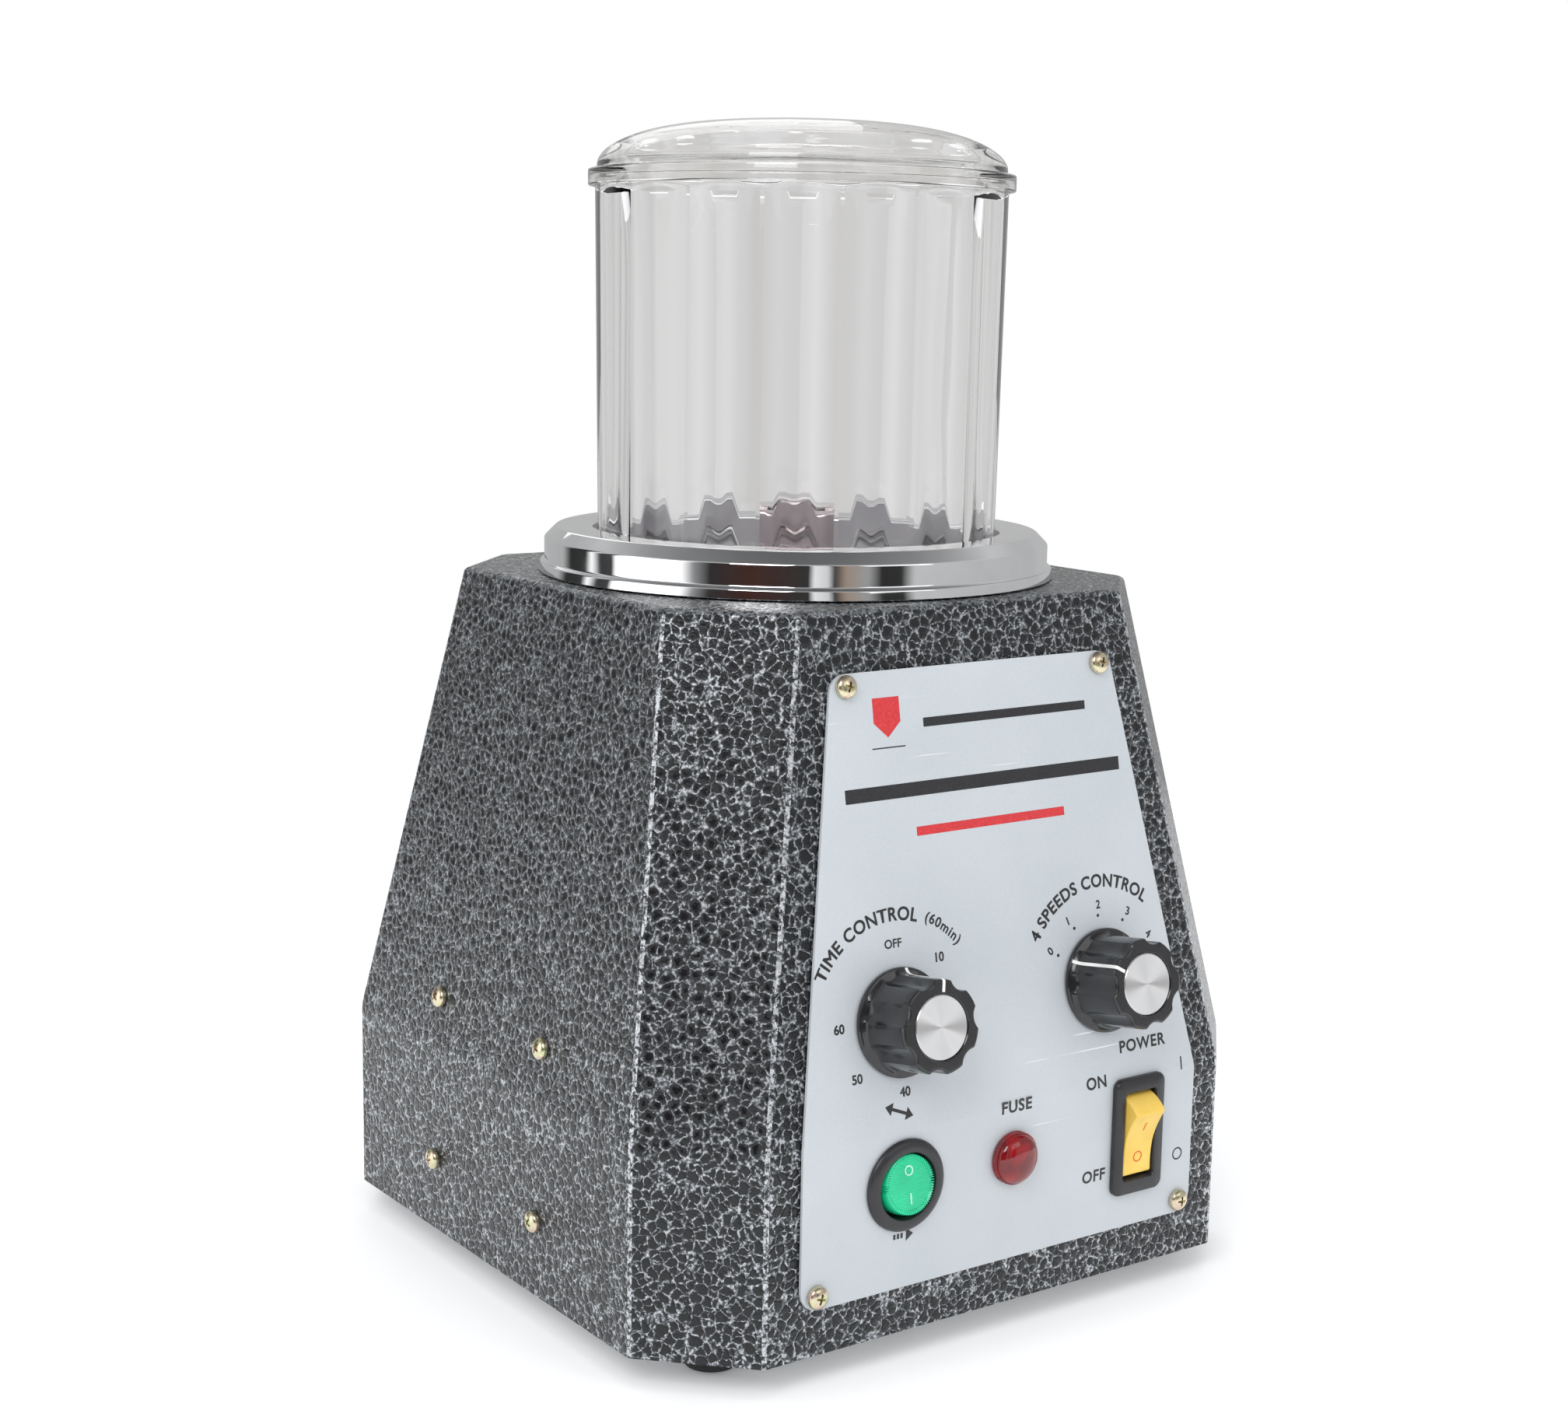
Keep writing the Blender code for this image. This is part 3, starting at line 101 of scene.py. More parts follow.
def rounded(corners, radius, steps):
    """The outline through these corners with each one rounded; radius is one number or one for each."""
    points = []
    for i, here in enumerate(corners):
        here = Vector(here)
        back = (Vector(corners[i - 1]) - here).normalized()
        on = (Vector(corners[(i + 1) % len(corners)]) - here).normalized()
        size = radius[i] if isinstance(radius, (list, tuple)) else radius
        half = math.acos(max(-1, min(1, back.dot(on)))) / 2
        if size <= 0 or abs(math.cos(half)) < 1e-4:
            points.append(here)
            continue
        middle = here + (back + on).normalized() * size / math.sin(half)
        first = here + back * size / math.tan(half) - middle
        last = here + on * size / math.tan(half) - middle
        for k in range(steps + 1):
            points.append(middle + first.lerp(last, k / steps).normalized() * size)
    return points


def rounded_path(corners, radii, steps):
    """An open line with its inner corners rounded."""
    return rounded(corners, [0, *radii, 0], steps)


def loft(name, rings, caps=True, wrap=False):
    """A skin over rings of equal count; caps close both ends, wrap joins the last ring to the first."""
    mesh = bpy.data.meshes.new(name)
    made = bmesh.new()
    rows = [[made.verts.new(point) for point in ring] for ring in rings]
    pairs = list(zip(rows, rows[1:]))
    if wrap:
        pairs.append((rows[-1], rows[0]))
    for low, high in pairs:
        for i in range(len(low)):
            k = (i + 1) % len(low)
            made.faces.new((low[i], low[k], high[k], high[i]))
    if caps and not wrap:
        made.faces.new(list(reversed(rows[0])))
        made.faces.new(rows[-1])
    bmesh.ops.remove_doubles(made, verts=made.verts, dist=1e-7)
    bmesh.ops.recalc_face_normals(made, faces=made.faces)
    made.to_mesh(mesh)
    made.free()
    return mesh


def smooth(mesh, degrees=30):
    """Smooth shading that breaks at edges sharper than this."""
    mesh.shade_smooth()
    mesh.set_sharp_from_angle(angle=math.radians(degrees))
    return mesh


def applied(thing, even=False):
    """The object's mesh with its modifiers made final; even keeps its flat faces looking flat."""
    if even:
        weigh = thing.modifiers.new("even", "WEIGHTED_NORMAL")
        weigh.keep_sharp = True
    bpy.context.view_layer.update()
    seen = thing.evaluated_get(bpy.context.evaluated_depsgraph_get())
    mesh = bpy.data.meshes.new_from_object(seen)
    old = thing.data
    thing.modifiers.clear()
    thing.data = mesh
    mesh.name = old.name
    return mesh


def set_down(name, mesh):
    thing = bpy.data.objects.new(name, mesh)
    bpy.context.scene.collection.objects.link(thing)
    return thing


def piece(name, mesh, material, body, slot, *stands_for):
    """A finished piece that rides on its body, in place of the plain solids it stands for.

    A mesh that already has its own finishes is given None.
    """
    thing = set_down(name, mesh)
    if material:
        mesh.materials.clear()
        mesh.materials.append(material)
    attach(thing, body)
    if stands_for:
        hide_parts(*stands_for)
    return thing


def finish_named(name):
    """A new finish: its material, its tree and its shader."""
    material = bpy.data.materials.new(name)
    material.use_nodes = True
    shader = material.node_tree.nodes["Principled BSDF"]
    return material, material.node_tree, shader


def fill(tree, node, inputs):
    """Sets a node's inputs; an input may be a value or another node's output."""
    for key, value in dict(inputs).items():
        if isinstance(value, bpy.types.NodeSocket):
            tree.links.new(value, node.inputs[key])
        else:
            node.inputs[key].default_value = value


def add(tree, kind, inputs=(), **settings):
    """A node with its settings and inputs."""
    made = tree.nodes.new(kind)
    for key, value in settings.items():
        setattr(made, key, value)
    fill(tree, made, inputs)
    return made


def ramp(tree, value, stops):
    """A colour ramp of (place, grey or colour) stops."""
    made = add(tree, "ShaderNodeValToRGB", {"Fac": value})
    line = made.color_ramp
    while len(line.elements) < len(stops):
        line.elements.new(0.5)
    for element, (place, tone) in zip(line.elements, stops):
        element.position = place
        element.color = (*tone, 1) if isinstance(tone, tuple) else (tone, tone, tone, 1)
    return made.outputs["Color"]


def spread(tree, value, low, high, to_low, to_high, kind="SMOOTHSTEP"):
    inputs = {"Value": value, "From Min": low, "From Max": high, "To Min": to_low, "To Max": to_high}
    return add(tree, "ShaderNodeMapRange", inputs, interpolation_type=kind).outputs["Result"]


def math_of(tree, kind, a, b=0.5):
    return add(tree, "ShaderNodeMath", {0: a, 1: b}, operation=kind).outputs[0]


def vector_of(tree, kind, a, b):
    return add(tree, "ShaderNodeVectorMath", {0: a, 1: b}, operation=kind).outputs[0]


def scaled(tree, vector, scale):
    inputs = {0: vector, "Scale": scale}
    return add(tree, "ShaderNodeVectorMath", inputs, operation="SCALE").outputs[0]


def place_on(tree):
    return add(tree, "ShaderNodeTexCoord").outputs["Object"]


def noise(tree, where, scale, detail=3.0, rough=0.5, warp=0.0):
    inputs = {"Vector": where, "Scale": scale, "Detail": detail, "Roughness": rough, "Distortion": warp}
    return add(tree, "ShaderNodeTexNoise", inputs).outputs["Fac"]


def relief(tree, shader, height, strength, distance):
    """Lets a pattern tilt the light as if it stood up from the surface."""
    bump = add(tree, "ShaderNodeBump", {"Height": height, "Strength": strength, "Distance": distance})
    tree.links.new(bump.outputs["Normal"], shader.inputs["Normal"])
    return bump.outputs["Normal"]


def hammered_enamel():
    """Dark pools some 2.5 mm across in a net of fine silver lines, domed and glossy."""
    material, tree, shader = finish_named("hammered_enamel")
    where = place_on(tree)
    inputs = {"Vector": where, "Scale": 480, "Detail": 4.0, "Roughness": 0.62}
    drift = add(tree, "ShaderNodeTexNoise", inputs).outputs["Color"]
    pull = vector_of(tree, "SUBTRACT", drift, (0.5, 0.5, 0.5))
    moved = vector_of(tree, "ADD", where, scaled(tree, pull, 0.0026))
    edge = {"Vector": moved, "Scale": 400, "Randomness": 1.0}
    border = add(tree, "ShaderNodeTexVoronoi", edge, feature="DISTANCE_TO_EDGE").outputs["Distance"]
    middle = add(tree, "ShaderNodeTexVoronoi", edge, feature="F1").outputs["Distance"]
    net = math_of(tree, "DIVIDE", border, math_of(tree, "ADD", middle, 0.22))
    reach = spread(tree, noise(tree, where, 330, 2.0), 0.32, 0.68, 0.10, 0.31)
    line = spread(tree, net, 0.0, reach, 1.0, 0.0)
    # The silver lines are lighter in small random spots and the pools carry light specks: partly uneven
    # silver, partly painted glints
    bright = spread(tree, noise(tree, where, 1300, 3.0, 0.6), 0.34, 0.62, 0.22, 1.0)
    silver = math_of(tree, "MULTIPLY", line, bright)
    speck_and_glint = spread(tree, noise(tree, where, 2300, 2.0), 0.58, 0.70, 0.0, 0.24)
    # The marked fold faces are painted lighter and more silver: a painted highlight along the folds
    fold = add(tree, "ShaderNodeAttribute", attribute_name="fold").outputs["Fac"]
    ragged = spread(tree, noise(tree, moved, 760, 3.0, 0.6), 0.38, 0.56, 0.0, 1.0)
    painted_fold_highlight = math_of(tree, "MULTIPLY", fold, ragged)
    tone = math_of(tree, "MAXIMUM", math_of(tree, "ADD", silver, speck_and_glint), painted_fold_highlight)
    tones = [
        (0.0, (0.005, 0.0055, 0.007)),
        (0.30, (0.020, 0.022, 0.026)),
        (0.72, (0.22, 0.235, 0.25)),
        (1.0, (0.62, 0.64, 0.67)),
    ]
    look = {
        "Base Color": ramp(tree, tone, tones),
        "Roughness": spread(tree, line, 0, 1, 0.26, 0.42),
        "Metallic": spread(tree, tone, 0.25, 0.9, 0.0, 0.80),
        "Specular IOR Level": 0.30,
        "Coat Weight": 0.32,
        "Coat Roughness": 0.13,
    }
    fill(tree, shader, look)
    dome = spread(tree, net, 0.0, 0.55, 0.0, 1.0)
    grain = math_of(tree, "MULTIPLY", noise(tree, where, 1200, 2.0), 0.35)
    rise = math_of(tree, "ADD", dome, grain)
    coat_normal = relief(tree, shader, rise, 0.80, 0.00035)
    tree.links.new(coat_normal, shader.inputs["Coat Normal"])
    return material


def shell_ring(inset, height):
    """The housing's eight-sided outline, drawn in by a share of the way to its top, at a height."""
    half = base_half - (base_half - top_half) * inset
    half_x, half_y = half
    cut = corner_cut
    corners = [
        (half_x - cut, -half_y),
        (half_x, -half_y + cut),
        (half_x, half_y - cut),
        (half_x - cut, half_y),
        (cut - half_x, half_y),
        (-half_x, half_y - cut),
        (-half_x, -half_y + cut),
        (cut - half_x, -half_y),
    ]
    return [(x, y + axis_y, height) for x, y in rounded(corners, corner_fold, 6)]


def housing():
    """The shell: rings up its outside and in to the seat's hole, given the sheet's thickness."""
    lean = base_half.y - top_half.y
    deck_start = lean + 0.006
    side = [(0, foot_height), (0, waist), (lean, top), (deck_start, top)]
    steps = rounded_path(side, [waist_fold, top_fold], 7)
    rings = [shell_ring(step.x / lean, step.y) for step in steps]
    last = rings[-1]
    middle = Vector((0, axis_y, top))
    rings.append([middle + (Vector(point) - middle).normalized() * seat_hole for point in last])
    shell = set_down("housing_shell_outside", loft("housing_shell_outside", rings, caps=False))
    thick = shell.modifiers.new("sheet", "SOLIDIFY")
    thick.thickness = sheet
    thick.offset = -1
    thick.use_even_offset = True
    applied(shell)
    made = bmesh.new()
    made.from_mesh(shell.data)
    bmesh.ops.recalc_face_normals(made, faces=made.faces)
    made.to_mesh(shell.data)
    made.free()
    return shell


enamel = hammered_enamel()
shell = housing()


def plug(outline, low, high, place):
    """The two end rings of a straight plug with this outline, from one level to another."""
    return [[place @ Vector((x, y, level)) for x, y in outline] for level in (low, high)]


def disc(radius, steps=48):
    turns = [2 * math.pi * i / steps for i in range(steps)]
    return [(radius * math.cos(a), radius * math.sin(a)) for a in turns]


def oblong(width, height, radius=0.0, steps=5):
    x = width / 2
    y = height / 2
    return rounded([(x, -y), (x, y), (-x, y), (-x, -y)], radius, steps)


def cut_away(thing, name, plugs, crossing=False):
    """Cuts plugs, each given as its end rings, out of a piece; crossing is for plugs that meet."""
    made = bmesh.new()
    for i, rings in enumerate(plugs):
        made.from_mesh(loft(f"{name}_{i}", rings))
    mesh = bpy.data.meshes.new(name)
    made.to_mesh(mesh)
    made.free()
    cutter = set_down(name, mesh)
    cut = thing.modifiers.new(name, "BOOLEAN")
    cut.operation = "DIFFERENCE"
    cut.solver = "EXACT"
    cut.use_self = crossing
    cut.object = cutter
    applied(thing)
    bpy.data.objects.remove(cutter)


def on_front(joint):
    """A frame on the front's upright part, level with a joint."""
    spot = Vector(joints[joint]["pos_m"])
    return wall((spot.x, shell_low.y, spot.z), (0, -1, 0))


# The holes that the controls, the fuse, the inlet and the screws pass through
timer_place = wall(joints["timer_turn"]["pos_m"], outward)
speed_place = wall(joints["speed_turn"]["pos_m"], outward)
power_place = on_front("power_rock")
direction_place = on_front("direction_rock")
fuse_place = on_front("fuse_cap_turn")
inlet_low, inlet_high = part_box("mains_inlet")
inlet_middle = (inlet_low + inlet_high) / 2
inlet_place = wall((inlet_middle.x, shell_high.y, inlet_middle.z), (0, 1, 0))

screw_names = [name for name in nodes if "screw" in name]
screw_places = {}
slant = math.atan2(base_half.x - top_half.x, top - waist)
for name in screw_names:
    low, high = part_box(name)
    middle = (low + high) / 2
    if name.startswith("plate"):
        out = Vector((0, -1, 0)) if "lower" in name else outward
    elif name.startswith("side"):
        side = -1 if "left" in name else 1
        lean = 0 if "lower" in name else slant
        out = Vector((side * math.cos(lean), 0, math.sin(lean)))
    else:
        out = None
    # The place is halfway along the screw, head and shank together; the motor's screws stand upright
    screw_places[name] = wall(middle, out) if out else at(*middle)

shaft_hole = 0.0046
direction_hole = 0.0102
fuse_hole = 0.0060
screw_hole = 0.0019
power_hole = (0.0148, 0.0278)
inlet_hole = (0.0283, 0.0210)
past_sheet = 0.004

holes = [
    plug(disc(shaft_hole), -past_sheet, past_sheet, timer_place),
    plug(disc(shaft_hole), -past_sheet, past_sheet, speed_place),
    plug(oblong(*power_hole), -past_sheet, past_sheet, power_place),
    plug(disc(direction_hole), -past_sheet, past_sheet, direction_place),
    plug(disc(fuse_hole), -past_sheet, past_sheet, fuse_place),
    plug(oblong(*inlet_hole), -past_sheet, past_sheet, inlet_place),
]
for name, place in screw_places.items():
    if not name.startswith("motor"):
        holes.append(plug(disc(screw_hole, 20), -2 * past_sheet, past_sheet, place))

cut_away(shell, "housing_holes", holes)
smooth(shell.data, 34)
shell_mesh = applied(shell, even=True)
bpy.data.objects.remove(shell)
# Faces on a rounded corner or on the brow are marked, and the enamel is painted lighter and more silver
# there: a painted highlight along the folds
corner_painted_highlight = 1.0
brow_painted_highlight = 0.62
fold_highlight_mark = shell_mesh.attributes.new("fold", "FLOAT", "FACE")
for polygon in shell_mesh.polygons:
    facing = polygon.normal
    bearing = math.degrees(math.atan2(facing.y, facing.x)) % 45
    corner = 9 < bearing < 36 and abs(facing.z) < 0.3
    brow = 0.40 < facing.z < 0.93
    fold_highlight_mark.data[polygon.index].value = corner_painted_highlight if corner else brow_painted_highlight if brow else 0.0
piece("housing_enamelled", shell_mesh, enamel, "housing", "hammer_paint", "housing_shell")


# ---- Base plate and feet -----------------------------------------------------------------------------
# A zinc-plated steel tray with a row of air slots closes the housing underneath. Four moulded rubber
# feet are pressed into it, and their soft edges show a little under the skirt.


def drawn_out(tree, where, streak):
    """Squeezes a pattern along Z, or with a small number draws it out."""
    inputs = {"Vector": where, "Scale": (1.0, 1.0, streak)}
    return add(tree, "ShaderNodeMapping", inputs).outputs["Vector"]


def plated_steel(name, colour, rough, grain=900, streak=8.0):
    """Rolled or turned metal: a fine grain drawn out one way, with cloudy patches in the plating."""
    material, tree, shader = finish_named(name)
    where = place_on(tree)
    lines = noise(tree, drawn_out(tree, where, streak), grain, 4.0, 0.6)
    cloud = noise(tree, where, 60, 3.0)
    dark = tuple(c * 0.80 for c in colour)
    light = tuple(min(1.0, c * 1.10) for c in colour)
    look = {
        "Base Color": ramp(tree, cloud, [(0.3, dark), (0.7, light)]),
        "Metallic": 1.0,
        "Roughness": spread(tree, lines, 0.3, 0.7, rough * 0.75, rough * 1.3),
    }
    fill(tree, shader, look)
    relief(tree, shader, lines, 0.12, 0.00008)
    return material


def moulded(name, colour, rough, texture=2600, depth=0.10, coat=0.0):
    """Moulded plastic or rubber: a fine skin texture and small changes of tone and gloss."""
    material, tree, shader = finish_named(name)
    where = place_on(tree)
    skin = noise(tree, where, texture, 3.0)
    patch = noise(tree, where, 120, 3.0)
    dark = tuple(c * 0.86 for c in colour)
    light = tuple(min(1.0, c * 1.12) for c in colour)
    look = {
        "Base Color": ramp(tree, patch, [(0.3, dark), (0.7, light)]),
        "Roughness": spread(tree, skin, 0.3, 0.7, rough * 0.85, rough * 1.2),
        "Coat Weight": coat,
        "Coat Roughness": 0.08,
    }
    fill(tree, shader, look)
    relief(tree, shader, skin, depth, 0.0001)
    return material


def dress(material, *names):
    """Gives CAD nodes that keep their own shape a better finish."""
    for name in names:
        thing = nodes[name]
        thing.data.materials.clear()
        thing.data.materials.append(material)


zinc = plated_steel("zinc_plated_sheet", (0.52, 0.54, 0.56), 0.34)
dress(zinc, "base_plate")
rubber = moulded("foot_rubber", (0.018, 0.018, 0.019), 0.62, 1800, 0.3)


def turned(name, profile, steps=96, place=None, outline=None):
    """A piece turned about Z from (radius, height) points; it closes on the axis at both its ends."""
    place = place or Matrix.Identity(4)
    mesh = bpy.data.meshes.new(name)
    made = bmesh.new()
    rows = []
    for radius, height in profile:
        if radius <= 0:
            rows.append([made.verts.new(place @ Vector((0, 0, height)))])
            continue
        ring = []
        for i in range(steps):
            a = 2 * math.pi * i / steps
            r = outline(a, radius, height) if outline else radius
            spot = Vector((r * math.cos(a), r * math.sin(a), height))
            ring.append(made.verts.new(place @ spot))
        rows.append(ring)
    pairs = list(zip(rows, rows[1:]))
    if len(rows[0]) > 1 or len(rows[-1]) > 1:
        pairs.append((rows[-1], rows[0]))
    for low, high in pairs:
        for i in range(steps):
            k = (i + 1) % steps
            if len(low) == 1 and len(high) > 1:
                made.faces.new((low[0], high[k], high[i]))
            elif len(high) == 1 and len(low) > 1:
                made.faces.new((low[i], low[k], high[0]))
            elif len(low) > 1:
                made.faces.new((low[i], low[k], high[k], high[i]))
    bmesh.ops.recalc_face_normals(made, faces=made.faces)
    made.to_mesh(mesh)
    made.free()
    return smooth(mesh)


def set_out_tree():
    """Sets one piece out on points, each turned as its point says, with a chance turn about its line."""
    tree = bpy.data.node_groups.new("set_out", "GeometryNodeTree")
    for name, way, kind in (
        ("Points", "INPUT", "NodeSocketGeometry"),
        ("Piece", "INPUT", "NodeSocketObject"),
        ("Chance Turn", "INPUT", "NodeSocketFloat"),
        ("Seed", "INPUT", "NodeSocketInt"),
        ("Finish", "INPUT", "NodeSocketMaterial"),
        ("Set Out", "OUTPUT", "NodeSocketGeometry"),
    ):
        tree.interface.new_socket(name, in_out=way, socket_type=kind)
    given = add(tree, "NodeGroupInput")
    points = add(tree, "GeometryNodeMeshToPoints", {"Mesh": given.outputs["Points"]})
    facing = add(tree, "GeometryNodeInputNamedAttribute", {"Name": "facing"}, data_type="FLOAT_VECTOR")
    size = add(tree, "GeometryNodeInputNamedAttribute", {"Name": "size"}, data_type="FLOAT_VECTOR")
    turn = add(tree, "FunctionNodeEulerToRotation", {"Euler": facing.outputs["Attribute"]})
    chance = add(tree, "FunctionNodeRandomValue", data_type="FLOAT")
    tree.links.new(given.outputs["Chance Turn"], chance.inputs["Max"])
    tree.links.new(given.outputs["Seed"], chance.inputs["Seed"])
    about = add(tree, "ShaderNodeCombineXYZ", {"Z": chance.outputs["Value"]})
    own = add(tree, "FunctionNodeEulerToRotation", {"Euler": about.outputs[0]})
    turns = {"Rotation": turn.outputs[0], "Rotate By": own.outputs[0]}
    both = add(tree, "FunctionNodeRotateRotation", turns, rotation_space="LOCAL")
    shape = add(tree, "GeometryNodeObjectInfo", {"Object": given.outputs["Piece"]})
    inputs = {
        "Points": points.outputs[0],
        "Instance": shape.outputs["Geometry"],
        "Rotation": both.outputs[0],
        "Scale": size.outputs["Attribute"],
    }
    copies = add(tree, "GeometryNodeInstanceOnPoints", inputs)
    real = add(tree, "GeometryNodeRealizeInstances", {"Geometry": copies.outputs[0]})
    inputs = {"Geometry": real.outputs[0], "Material": given.outputs["Finish"]}
    coated = add(tree, "GeometryNodeSetMaterial", inputs)
    add(tree, "NodeGroupOutput", {"Set Out": coated.outputs[0]})
    return tree


set_out = set_out_tree()


def set_out_copies(name, mesh, places, material, sizes=None, chance_turn=0.0, seed=4):
    """Copies of a small piece at these frames, as one plain mesh."""
    marks = bpy.data.meshes.new(name + "_points")
    marks.from_pydata([place.translation for place in places], [], [])
    facing = marks.attributes.new("facing", "FLOAT_VECTOR", "POINT")
    size = marks.attributes.new("size", "FLOAT_VECTOR", "POINT")
    for i, place in enumerate(places):
        facing.data[i].vector = place.to_euler()
        size.data[i].vector = sizes[i] if sizes else (1, 1, 1)
    one = set_down(name + "_one", mesh)
    thing = set_down(name + "_all", marks)
    spread_out = thing.modifiers.new("set_out", "NODES")
    spread_out.node_group = set_out
    wanted = {"Piece": one, "Chance Turn": chance_turn, "Seed": seed, "Finish": material}
    for item in set_out.interface.items_tree:
        if item.in_out == "INPUT" and item.name in wanted:
            spread_out[item.identifier] = wanted[item.name]
    made = applied(thing)
    bpy.data.objects.remove(thing)
    bpy.data.objects.remove(one)
    return made


foot_radius = 0.007
foot_names = ["foot_front_left", "foot_front_right", "foot_rear_left", "foot_rear_right"]
foot_profile = [
    (0, 0.0018),
    (0.0022, 0.0018),
    (0.0026, 0.0015),
    (0.0030, 0.0002),
    (0.0034, 0.0),
    (foot_radius - 0.0014, 0.0),
    (foot_radius - 0.0005, 0.0003),
    (foot_radius - 0.0001, 0.0010),
    (foot_radius, 0.0018),
    (foot_radius, foot_height - 0.0012),
    (foot_radius - 0.0004, foot_height - 0.0004),
    (0.0052, foot_height - 0.0003),
    (0, foot_height - 0.0003),
]
foot_places = []
for name in foot_names:
    low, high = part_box(name)
    foot_places.append(at((low.x + high.x) / 2, (low.y + high.y) / 2, low.z))
feet = set_out_copies("rubber_feet", turned("rubber_foot", foot_profile, 64), foot_places, rubber)
piece("rubber_feet", feet, rubber, "housing", "rubber", *foot_names)


# ---- Control plate -----------------------------------------------------------------------------------
# A thin steel plate in pale silver-grey enamel, bent to follow the front's fold and held by four
# screws. Its scales, words and plain bars are screen-printed in black and red, and handling has
# scratched it lightly.


def blend(tree, share, a, b):
    """One colour fading to another by a share; sockets 6 and 7 are the node's pair of colours."""
    return add(tree, "ShaderNodeMix", {0: share, 6: a, 7: b}, data_type="RGBA").outputs[2]


def silver_grey_enamel():
    """Pale enamel with a fine orange peel, faint clouds, and a few hairline scratches."""
    material, tree, shader = finish_named("silver_grey_enamel")
    where = place_on(tree)
    cloud = noise(tree, where, 25, 3.0)
    tone = ramp(tree, cloud, [(0.3, (0.475, 0.51, 0.54)), (0.7, (0.53, 0.56, 0.585))])
    fleck = spread(tree, noise(tree, where, 5200, 2.0), 0.35, 0.70, 0.94, 1.05)
    shade = scaled(tree, tone, fleck)
    turned_way = {"Vector": where, "Rotation": (0.2, 0.9, 0.15), "Scale": (14, 40, 900)}
    long_way = add(tree, "ShaderNodeMapping", turned_way).outputs["Vector"]
    scratch = spread(tree, noise(tree, long_way, 1.0, 2.0), 0.70, 0.74, 0.0, 1.0)
    patchy = spread(tree, noise(tree, where, 30, 2.0), 0.50, 0.62, 0.0, 1.0)
    worn = math_of(tree, "MULTIPLY", scratch, patchy)
    look = {
        "Base Color": blend(tree, worn, shade, (0.80, 0.82, 0.84, 1)),
        "Roughness": spread(tree, cloud, 0.3, 0.7, 0.36, 0.44),
        "Specular IOR Level": 0.45,
    }
    fill(tree, shader, look)
    peel = noise(tree, where, 900, 2.0)
    height = math_of(tree, "SUBTRACT", peel, math_of(tree, "MULTIPLY", worn, 2.0))
    relief(tree, shader, height, 0.06, 0.0001)
    return material


def softened(node, width, segments=2, degrees=28):
    """A merged copy of a CAD node with its edges broken by this width."""
    mesh = nodes[node].data.copy()
    made = bmesh.new()
    made.from_mesh(mesh)
    bmesh.ops.remove_doubles(made, verts=made.verts, dist=2e-6)
    bmesh.ops.dissolve_limit(made, angle_limit=math.radians(0.8), verts=made.verts, edges=made.edges)
    made.to_mesh(mesh)
    made.free()
    for layer in list(mesh.attributes):
        if layer.name == "custom_normal":
            mesh.attributes.remove(layer)
    mesh.shade_flat()
    thing = set_down(node + "_soft", mesh)
    bevel = thing.modifiers.new("edges", "BEVEL")
    bevel.width = width
    bevel.segments = segments
    bevel.limit_method = "ANGLE"
    bevel.angle_limit = math.radians(degrees)
    bevel.use_clamp_overlap = True
    smooth(applied(thing), 35)
    even = applied(thing, even=True)
    bpy.data.objects.remove(thing)
    return even


plate_enamel = silver_grey_enamel()
dress(plate_enamel, "control_plate")

plate_face = 0.0011
ink_height = 0.00003


def ink(name, colour):
    """Screen-printed ink: dense, slightly uneven, with a faint grain at its edges."""
    material, tree, shader = finish_named(name)
    where = place_on(tree)
    thin = noise(tree, where, 2400, 3.0)
    light = tuple(c * 1.5 + 0.01 for c in colour)
    look = {
        "Base Color": ramp(tree, thin, [(0.45, colour), (0.80, light)]),
        "Roughness": spread(tree, thin, 0.3, 0.7, 0.34, 0.46),
    }
    fill(tree, shader, look)
    return material


black_ink = ink("black_ink", (0.016, 0.016, 0.018))
red_ink = ink("red_ink", (0.52, 0.025, 0.03))


def bolder(mesh, reach):
    """Draws each stroke's edge out by a set distance, which keeps counters and notches open."""
    made = bmesh.new()
    made.from_mesh(mesh)
    bmesh.ops.remove_doubles(made, verts=made.verts, dist=1e-6)
    shifts = []
    for vertex in made.verts:
        ways = []
        for edge in vertex.link_edges:
            if edge.is_boundary:
                loop = edge.link_loops[0]
                along = loop.link_loop_next.vert.co - loop.vert.co
                ways.append(along.cross(loop.face.normal).normalized())
        both = sum(ways, Vector())
        if len(ways) == 2 and both.length > 0.1:
            shifts.append((vertex, both.normalized() * reach / max(0.5, both.length / 2)))
    for vertex, shift in shifts:
        vertex.co += shift
    made.to_mesh(mesh)
    made.free()
    return mesh


# How far the strokes are drawn out, as a share of the letter's size
stroke_gain = 0.018


def words(text, height, bold=0.0, spacing=1.0):
    """A line of plain lettering as a flat mesh, its middle at the origin and as high as asked."""
    curve = bpy.data.curves.new("lettering", "FONT")
    curve.body = text
    curve.size = 1.0
    curve.space_character = spacing
    curve.resolution_u = 6
    holder = set_down("lettering", curve)
    bpy.context.view_layer.update()
    seen = holder.evaluated_get(bpy.context.evaluated_depsgraph_get())
    mesh = bolder(bpy.data.meshes.new_from_object(seen), stroke_gain + bold)
    bpy.data.objects.remove(holder)
    across = [vertex.co.x for vertex in mesh.vertices]
    upward = [vertex.co.y for vertex in mesh.vertices]
    scale = height / (max(upward) - min(upward))
    middle = at((min(across) + max(across)) / 2, (min(upward) + max(upward)) / 2)
    mesh.transform(Matrix.Scale(scale, 4) @ middle.inverted())
    return mesh


def arched(mesh, radius):
    """Bends a line of lettering round a circle below it, clockwise from its top."""
    for vertex in mesh.vertices:
        x, y, z = vertex.co
        vertex.co = ((radius + y) * math.sin(x / radius), (radius + y) * math.cos(x / radius), z)
    return mesh


def flat_shape(points):
    """A flat mark from an outline."""
    mesh = bpy.data.meshes.new("mark")
    mesh.from_pydata([(x, y, 0) for x, y in points], [], [list(range(len(points)))])
    return mesh


